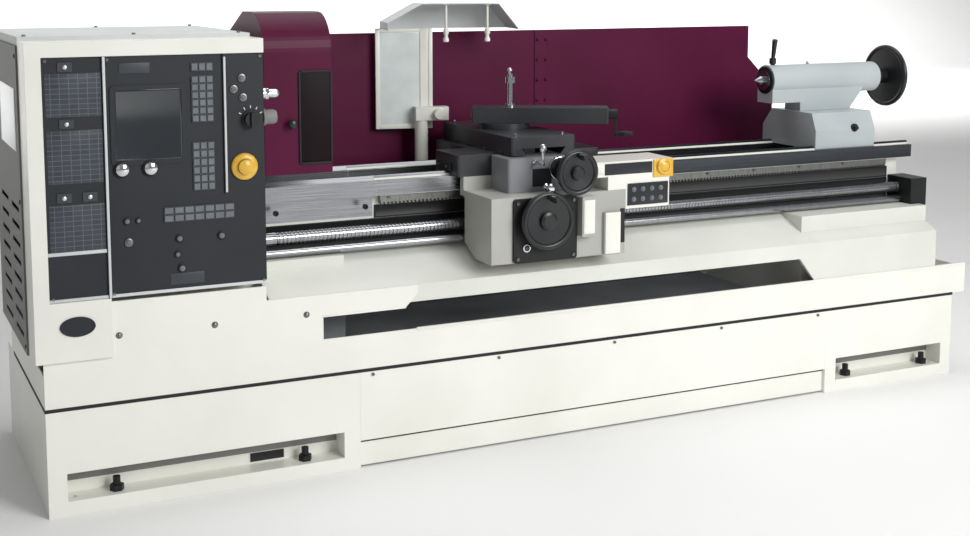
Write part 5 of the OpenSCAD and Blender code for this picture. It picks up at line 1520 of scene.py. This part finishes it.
@dataclass
class Carriage(SubAssembly):
    """Saddle, apron, slides, handwheels and the tool-post stud.

    Attributes:
        body: The carriage.
        wipers: X of each end of the saddle that carries a wiper, its Y span and the way in which it faces.
        wiper_thick: Thickness of a wiper.
        wiper_screw: Distance of a wiper's screw from its end.
    """

    body: str = "carriage"
    wipers: tuple[tuple[float, float, float, Axis], ...] = (
        (1230, 182, 278, Axis.LEFT), (1720, 182, 278, Axis.RIGHT), (1720, 422, 518, Axis.RIGHT),
    )
    wiper_thick: float = 7.0
    wiper_screw: float = 18.0

    def build(self) -> None:
        """Dresses the carriage and adds its small pieces."""
        self.dress(Finishes.SLATE, "saddle", "cross_slide", "swivel_base", "top_slide")
        self.dress(Finishes.CASTING_WARM, "apron")
        # The screw bracket's darker grey enamel is painted shade
        self.dress(Finishes.CASTING_SHADE, "cross_screw_bracket")
        self.dress(Finishes.BLACKED, "apron_plate", "top_slide_crank")
        self.dress(Finishes.MOULDED, "carriage_handwheel", "cross_handwheel")
        self.dress(Finishes.CHROME, "toolpost_stud", "stud_handle")
        self.felt()
        self.levers()
        self.front()
        self.dials()
        self.slides()

    def felt(self) -> None:
        """Screws a rubber wiper to each end of the saddle's wings."""
        for i, (x, near, far, way) in enumerate(self.wipers, 1):
            outside = x + way.vector.x * self.wiper_thick
            self.plate(
                f"way_wiper_{i}", (min(x, outside), max(x, outside)), (near, far), (813.0, 838.0), way,
                3.0, 1.0, 0.8, Finishes.RUBBER,
            )
            seat = outside + way.vector.x
            places = [(seat, y, 826.0) for y in (near + self.wiper_screw, far - self.wiper_screw)]
            self.cap_screws(f"wiper_screws_{i}", places, 4.0, way)

    def levers(self) -> None:
        """Adds the screw bracket's cover, its bent feed lever and the feed knob."""
        self.plate(
            "bracket_cover", (1421, 1484), (16.5, 20), (776, 829), Axis.FRONT, 4.0, -1.2, 1.0,
            Finishes.BLACKED,
        )
        outline = [(0, 0), (8, 0), (8, 4), (4.5, 6), (4.5, 56), (3, 58), (0, 58)]
        stem = Bench.spun("feed_lever", (1428, 20.5, 850), outline, Axis.FRONT, 20)
        outline = [
            (0, 0), (5, 0), (6, 3), (5, 8), (4, 34), (7, 38), (9.5, 44), (10.5, 50), (9, 57), (4, 61),
            (0, 61.5),
        ]
        grip = Bench.spun("feed_lever_grip", (1428, -31, 848), outline, Axis.UP, 24)
        self.fit(Bench.join("feed_lever", [stem, grip]), Finishes.CHROME)
        outline = [(0, 0), (13, 0), (13, 4), (7, 6), (7, 14), (12, 18), (13, 24), (9, 29), (0, 30)]
        self.turned("feed_knob", (1433, -50, 784), outline, Axis.FRONT, 24, Finishes.CHROME)

    def front(self) -> None:
        """Adds the seal, covers, screws and oil sight on the front of the apron."""
        seal = Hardware.slab(
            "apron_edge_seal", (1683.5, 1699.0), (-52.5, -49.5), (598.0, 702.0), Axis.FRONT,
            ((2.0, 0.8),), 0.8,
        )
        self.fit(seal, Finishes.RUBBER)
        for name, x, y, z, corner in (
            ("boss_cover", (1626, 1678), (-62.5, -60), (569, 694), 1.0),
            ("lever_box_lid", (1540, 1577), (-82.5, -80), (640, 741), 0.8),
        ):
            self.plate(name, x, y, z, Axis.FRONT, 4.0, 0.8, corner, Finishes.ENAMEL_WHITE)
        places = [(1332, -58, 742), (1517, -58, 742), (1332, -58, 578), (1517, -58, 578)]
        self.cap_screws("apron_screws", places, 5.0, Axis.FRONT)
        sight = (1360, -58, 610)
        self.fit(Hardware.ring("oil_sight_ring", sight, 13.0, 9.0, 5.0, Axis.FRONT), Finishes.CHROME)
        outline = [(0, 4), (5, 3.6), (9.2, 2.4), (9.2, 0), (0, 0)]
        self.turned("oil_sight_lens", sight, outline, Axis.FRONT, 24, Finishes.GLASS)

    def dials(self) -> None:
        """Adds the graduated collars behind the handwheels."""
        for name, place, radius, body in (
            ("cross_dial", (1506, 19.0, 828), 35.2, "cross_handwheel"),
            ("carriage_dial", (1416, -59.0, 691), 40.0, "carriage_handwheel"),
        ):
            self.fit(Hardware.dial(name, place, radius, 16.0, Axis.FRONT), Finishes.CHROME, body)

    def slides(self) -> None:
        """Adds the cross slide's gib screws and oil nipples."""
        places = [(1370, 130 + 110 * i, 868) for i in range(4)]
        self.cap_screws("gib_screws", places, 5.0, Axis.LEFT, body="cross_slide")
        outline = [(0, 0), (5, 0), (5, 2), (3, 3), (3, 5), (4, 6.5), (2.5, 8.5), (0, 9)]
        nipple = Bench.spun("oil_nipples", (1400, 90, 919.6), outline, Axis.UP, 16)
        places = [(x, y, 0) for y in (0, 440) for x in (0, 160)]
        self.fit(Bench.row(nipple, places), Finishes.CHROME, "cross_slide")


@dataclass
class Pendant(SubAssembly):
    """The control pendant at the carriage's right.

    Attributes:
        body: The carriage.
        face: Y of the pendant's face.
        buttons: X places and Z places of the buttons on the lower face.
    """

    body: str = "carriage"
    face: float = -50.0
    buttons: tuple[tuple[float, ...], Span] = ((1730, 1762, 1794, 1826), (757, 727))

    def build(self) -> None:
        """Dresses the pendant and adds its dark faces, buttons and stop ring."""
        self.dress(Finishes.ENAMEL_WHITE, "carriage_pendant")
        self.dress(Finishes.YELLOW, "pendant_estop")
        thin = (self.face - 2.5, self.face)
        for name, x, z, rim in (
            ("pendant_upper_face", (1628, 1794), (806, 840), 3.0),
            ("pendant_lower_face", (1708, 1852), (709, 776), 4.0),
        ):
            self.plate(name, x, thin, z, Axis.FRONT, rim, -0.8, 0.8, Finishes.FASCIA)
        places = [(x, -51.5, z) for z in self.buttons[1] for x in self.buttons[0]]
        outline = [(0, 5.5), (3.5, 5), (5.5, 4), (6, 2), (8, 1.6), (8, 0), (0, 0)]
        button = Bench.spun("pendant_buttons", places[0], outline, Axis.FRONT, 20)
        self.fit(Bench.row(button, places), Finishes.KEY)
        thick = (self.face - 3.5, self.face)
        self.plate(
            "pendant_stop_plate", (1798, 1869), thick, (790, 845), Axis.FRONT, 3.0, 0.8, 1.5, Finishes.YELLOW
        )
        outline = [(16.8, 0), (26, 0), (26, 5), (24, 8), (16.8, 10), (16.8, 0)]
        self.turned("pendant_stop_ring", (1834, -53, 823), outline, Axis.FRONT, 40, Finishes.YELLOW)
        proud = (self.face - 6.0, self.face)
        self.plate(
            "pendant_socket", (1594, 1624), proud, (812, 842), Axis.FRONT, 5.0, 2.0, 1.2,
            Finishes.ENAMEL_WHITE,
        )


@dataclass
class ChipShield(SubAssembly):
    """The swinging chip shield on its post.

    Attributes:
        body: The shield.
        post: The post's axis.
        opening: X span from the post, and Z span, of the window.
        border: Width of the window's frame at either side, below and above.
        turned_by: How far the shield stands from the bed's line, in degrees.
    """

    body: str = "shield"
    post: Place = (1300.0, 575.0, 900.0)
    opening: tuple[Span, Span] = ((-134.0, 28.0), (914.0, 1216.0))
    border: Place = (14.0, 15.0, 12.0)
    turned_by: float = -12.0

    def build(self) -> None:
        """Dresses the shield and adds its window, frame and knobs."""
        self.dress(Finishes.POWDER_PALE, "chip_shield")
        self.dress(Finishes.ENAMEL_WHITE, "shield_arm")
        x, y, _ = self.post
        (left, right), (low, top) = self.opening
        left, right, deep = x + left, x + right, (y + 17, y + 22.5)
        side, below, above = self.border
        high = (low - below, top + above)
        pane = Hardware.slab(
            "shield_window", (left, right), (y + 18.8, y + 22.0), (low, top), Axis.FRONT,
            Hardware.rimmed(3.0, 0.3), 0.5,
        )
        boxes = (
            ((left - side, left), deep, high), ((right, right + side), deep, high),
            ((left, right), deep, (low - below, low)), ((left, right), deep, (top, top + above)),
        )
        border = Hardware.slabs("shield_frame", boxes, Axis.FRONT, ((2.0, 0.8),), 0.8)
        outline = [
            (0, 0), (11, 0), (11, 4), (4, 6), (4, 76), (9, 80), (9, 94), (6, 98), (6, 106), (9, 110),
            (9, 120), (0, 122),
        ]
        knob = Bench.spun("hood_knobs", (x + 61, y - 106, 1309.5), outline, Axis.DOWN, 20)
        knobs = Bench.row(knob, [(0, 0, 0), (136, 0, 0)])
        pieces = ((pane, Finishes.CLEAR), (border, Finishes.ENAMEL_WHITE), (knobs, Finishes.ENAMEL_WHITE))
        for piece, finish in pieces:
            piece.data.transform(around(self.post, self.turned_by, "Z"))
            self.fit(piece, finish, slot=Slot.GREY_PAINT)


@dataclass
class Tailstock(SubAssembly):
    """Tailstock base, body, quill, wheel and lock.

    Attributes:
        body: The tailstock.
    """

    body: str = "tailstock"

    def build(self) -> None:
        """Dresses the tailstock and adds its small pieces."""
        self.dress(Finishes.CASTING_BLUE, "tailstock_base", "tailstock_body")
        self.dress(Finishes.TURNED, "quill", "dead_centre")
        self.dress(Finishes.MOULDED, "tailstock_handwheel", "quill_lock_lever")
        outline = [(0, 0), (14, 0), (14, 8), (12, 10), (8, 10), (8, 18), (6.5, 20), (0, 20)]
        self.turned("set_over_screw", (2790, 200, 870), outline, Axis.FRONT, 24, Finishes.BLACKED)
        collar = Hardware.ring("quill_collar", (2518, 350, 1035), 48.0, 35.6, 5.0, Axis.LEFT)
        self.fit(collar, Finishes.BLACKED)
        dial = Hardware.dial("tail_dial", (2994, 350, 1035), 36.0, 18.0, Axis.RIGHT)
        self.fit(dial, Finishes.CHROME, "tail_wheel")
        outline = [(0, 0), (6, 0), (6, 3), (4, 4), (4, 7), (5, 9), (3, 11), (0, 11.5)]
        self.turned("tail_oiler", (2700, 350, 1087.6), outline, Axis.UP, 16, Finishes.CHROME)


@dataclass
class Studio:
    """The pale floor, the soft lights and the camera.

    Attributes:
        camera_at: The camera's place in metres.
        yaw: Its turn from the normal of the front, in degrees.
        pitch: How far it looks down, in degrees.
        lens: Its lens in mm on a 36 mm wide frame.
        frame_wide: Width of that frame in mm.
        shift: Its shift in X and Y, in shares of the frame's width.
        floor_size: Length and depth of the flat floor in metres.
        sweep: The two steps in metres by which the floor's far edge rises to a wall.
        bend: Radius in mm of the curve between floor and wall.
        boxes: Name, place, aim, size in metres and power in watts of each soft box.
        surround: Colour of the even surround.
        glow: Strength of the surround.
    """

    camera_at: Place = (-2.0243, -3.8966, 1.4016)
    yaw: float = 25.367
    pitch: float = 7.0
    lens: float = 50.72
    frame_wide: float = 36.0
    shift: Span = (0.0137, -0.1291)
    floor_size: Span = (40.0, 24.0)
    sweep: tuple[Place, Place] = ((0.0, 3.0, 2.0), (0.0, 0.0, 14.0))
    bend: float = 900.0
    boxes: tuple[tuple[str, Place, Place, float, float], ...] = (
        ("key_box", (1.8, -5.4, 3.2), (0.0, 0.0, 0.5), 2.8, 256.0),
        ("fill_box", (-3.4, -4.0, 2.2), (0.2, 0.0, 0.5), 2.6, 6.0),
        ("top_box", (0.4, 0.4, 4.6), (0.0, 0.0, 0.5), 3.6, 82.0),
        ("wall_box_left", (-4.0, 8.0, 6.0), (0.0, 15.0, 2.0), 5.0, 700.0),
        ("wall_box_right", (8.0, 8.0, 6.0), (8.0, 15.0, 2.0), 5.0, 900.0),
    )
    surround: str = "#fbfbfd"
    glow: float = 0.26

    def build(self) -> None:
        """Makes the floor, lights and camera."""
        self.floor()
        self.lights()
        self.camera()

    def floor(self) -> None:
        """Lays a floor that curves up far behind the machine."""
        Bench.clear()
        bpy.ops.mesh.primitive_plane_add(size=1.0, location=(0, 0, 0))
        bpy.context.active_object.scale = (*self.floor_size, 1)
        floor = Bench.settle("studio_floor")
        with Edit(floor):
            bpy.ops.mesh.select_mode(type="EDGE")
            bpy.ops.mesh.select_all(action="DESELECT")
            mesh = bmesh.from_edit_mesh(floor.data)
            for edge in mesh.edges:
                edge.select_set(all(v.co.y > 0 for v in edge.verts))
            bmesh.update_edit_mesh(floor.data)
            for step in self.sweep:
                bpy.ops.mesh.extrude_region_move(TRANSFORM_OT_translate={"value": step})
        Bench.soften(floor, self.bend, 12)
        floor.data.materials.append(Finishes.FLOOR.material())

    def lights(self) -> None:
        """Hangs the soft boxes, two of them for the wall behind, in an even white surround."""
        for name, place, aim, size, power in self.boxes:
            light = bpy.data.lights.new(name, "AREA")
            light.size = size
            light.energy = power
            lamp = bpy.data.objects.new(name, light)
            lamp.location = place
            lamp.rotation_euler = (Vector(aim) - Vector(place)).to_track_quat("-Z", "Y").to_euler()
            bpy.context.collection.objects.link(lamp)
        world = bpy.data.worlds.new("studio_surround")
        world.use_nodes = True
        background = world.node_tree.nodes["Background"]
        background.inputs["Color"].default_value = linear(self.surround)
        background.inputs["Strength"].default_value = self.glow
        bpy.context.scene.world = world
        bpy.context.scene.view_settings.view_transform = "Standard"

    def camera(self) -> None:
        """Sets the camera at the photograph's angle."""
        lens = bpy.data.cameras.new("photo_camera")
        lens.lens = self.lens
        lens.sensor_width = self.frame_wide
        lens.shift_x, lens.shift_y = self.shift
        camera = bpy.data.objects.new("photo_camera", lens)
        camera.location = self.camera_at
        yaw, pitch = math.radians(self.yaw), math.radians(self.pitch)
        look = Vector((math.sin(yaw) * math.cos(pitch), math.cos(yaw) * math.cos(pitch), -math.sin(pitch)))
        camera.rotation_euler = look.to_track_quat("-Z", "Y").to_euler()
        bpy.context.collection.objects.link(camera)
        bpy.context.scene.camera = camera


def main() -> None:
    """Builds every sub-assembly in order and reports what each made."""
    logging.basicConfig(level=logging.INFO, format="%(message)s")
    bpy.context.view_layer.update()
    kinds = (Base, Bed, Headstock, ControlPanel, Guards, Carriage, Pendant, ChipShield, Tailstock)
    for kind in kinds:
        part = kind()
        part.build()
        LOG.info("%s: %s", kind.__name__, ", ".join(part.made))
    Studio().build()


if __name__ == "__main__":
    main()
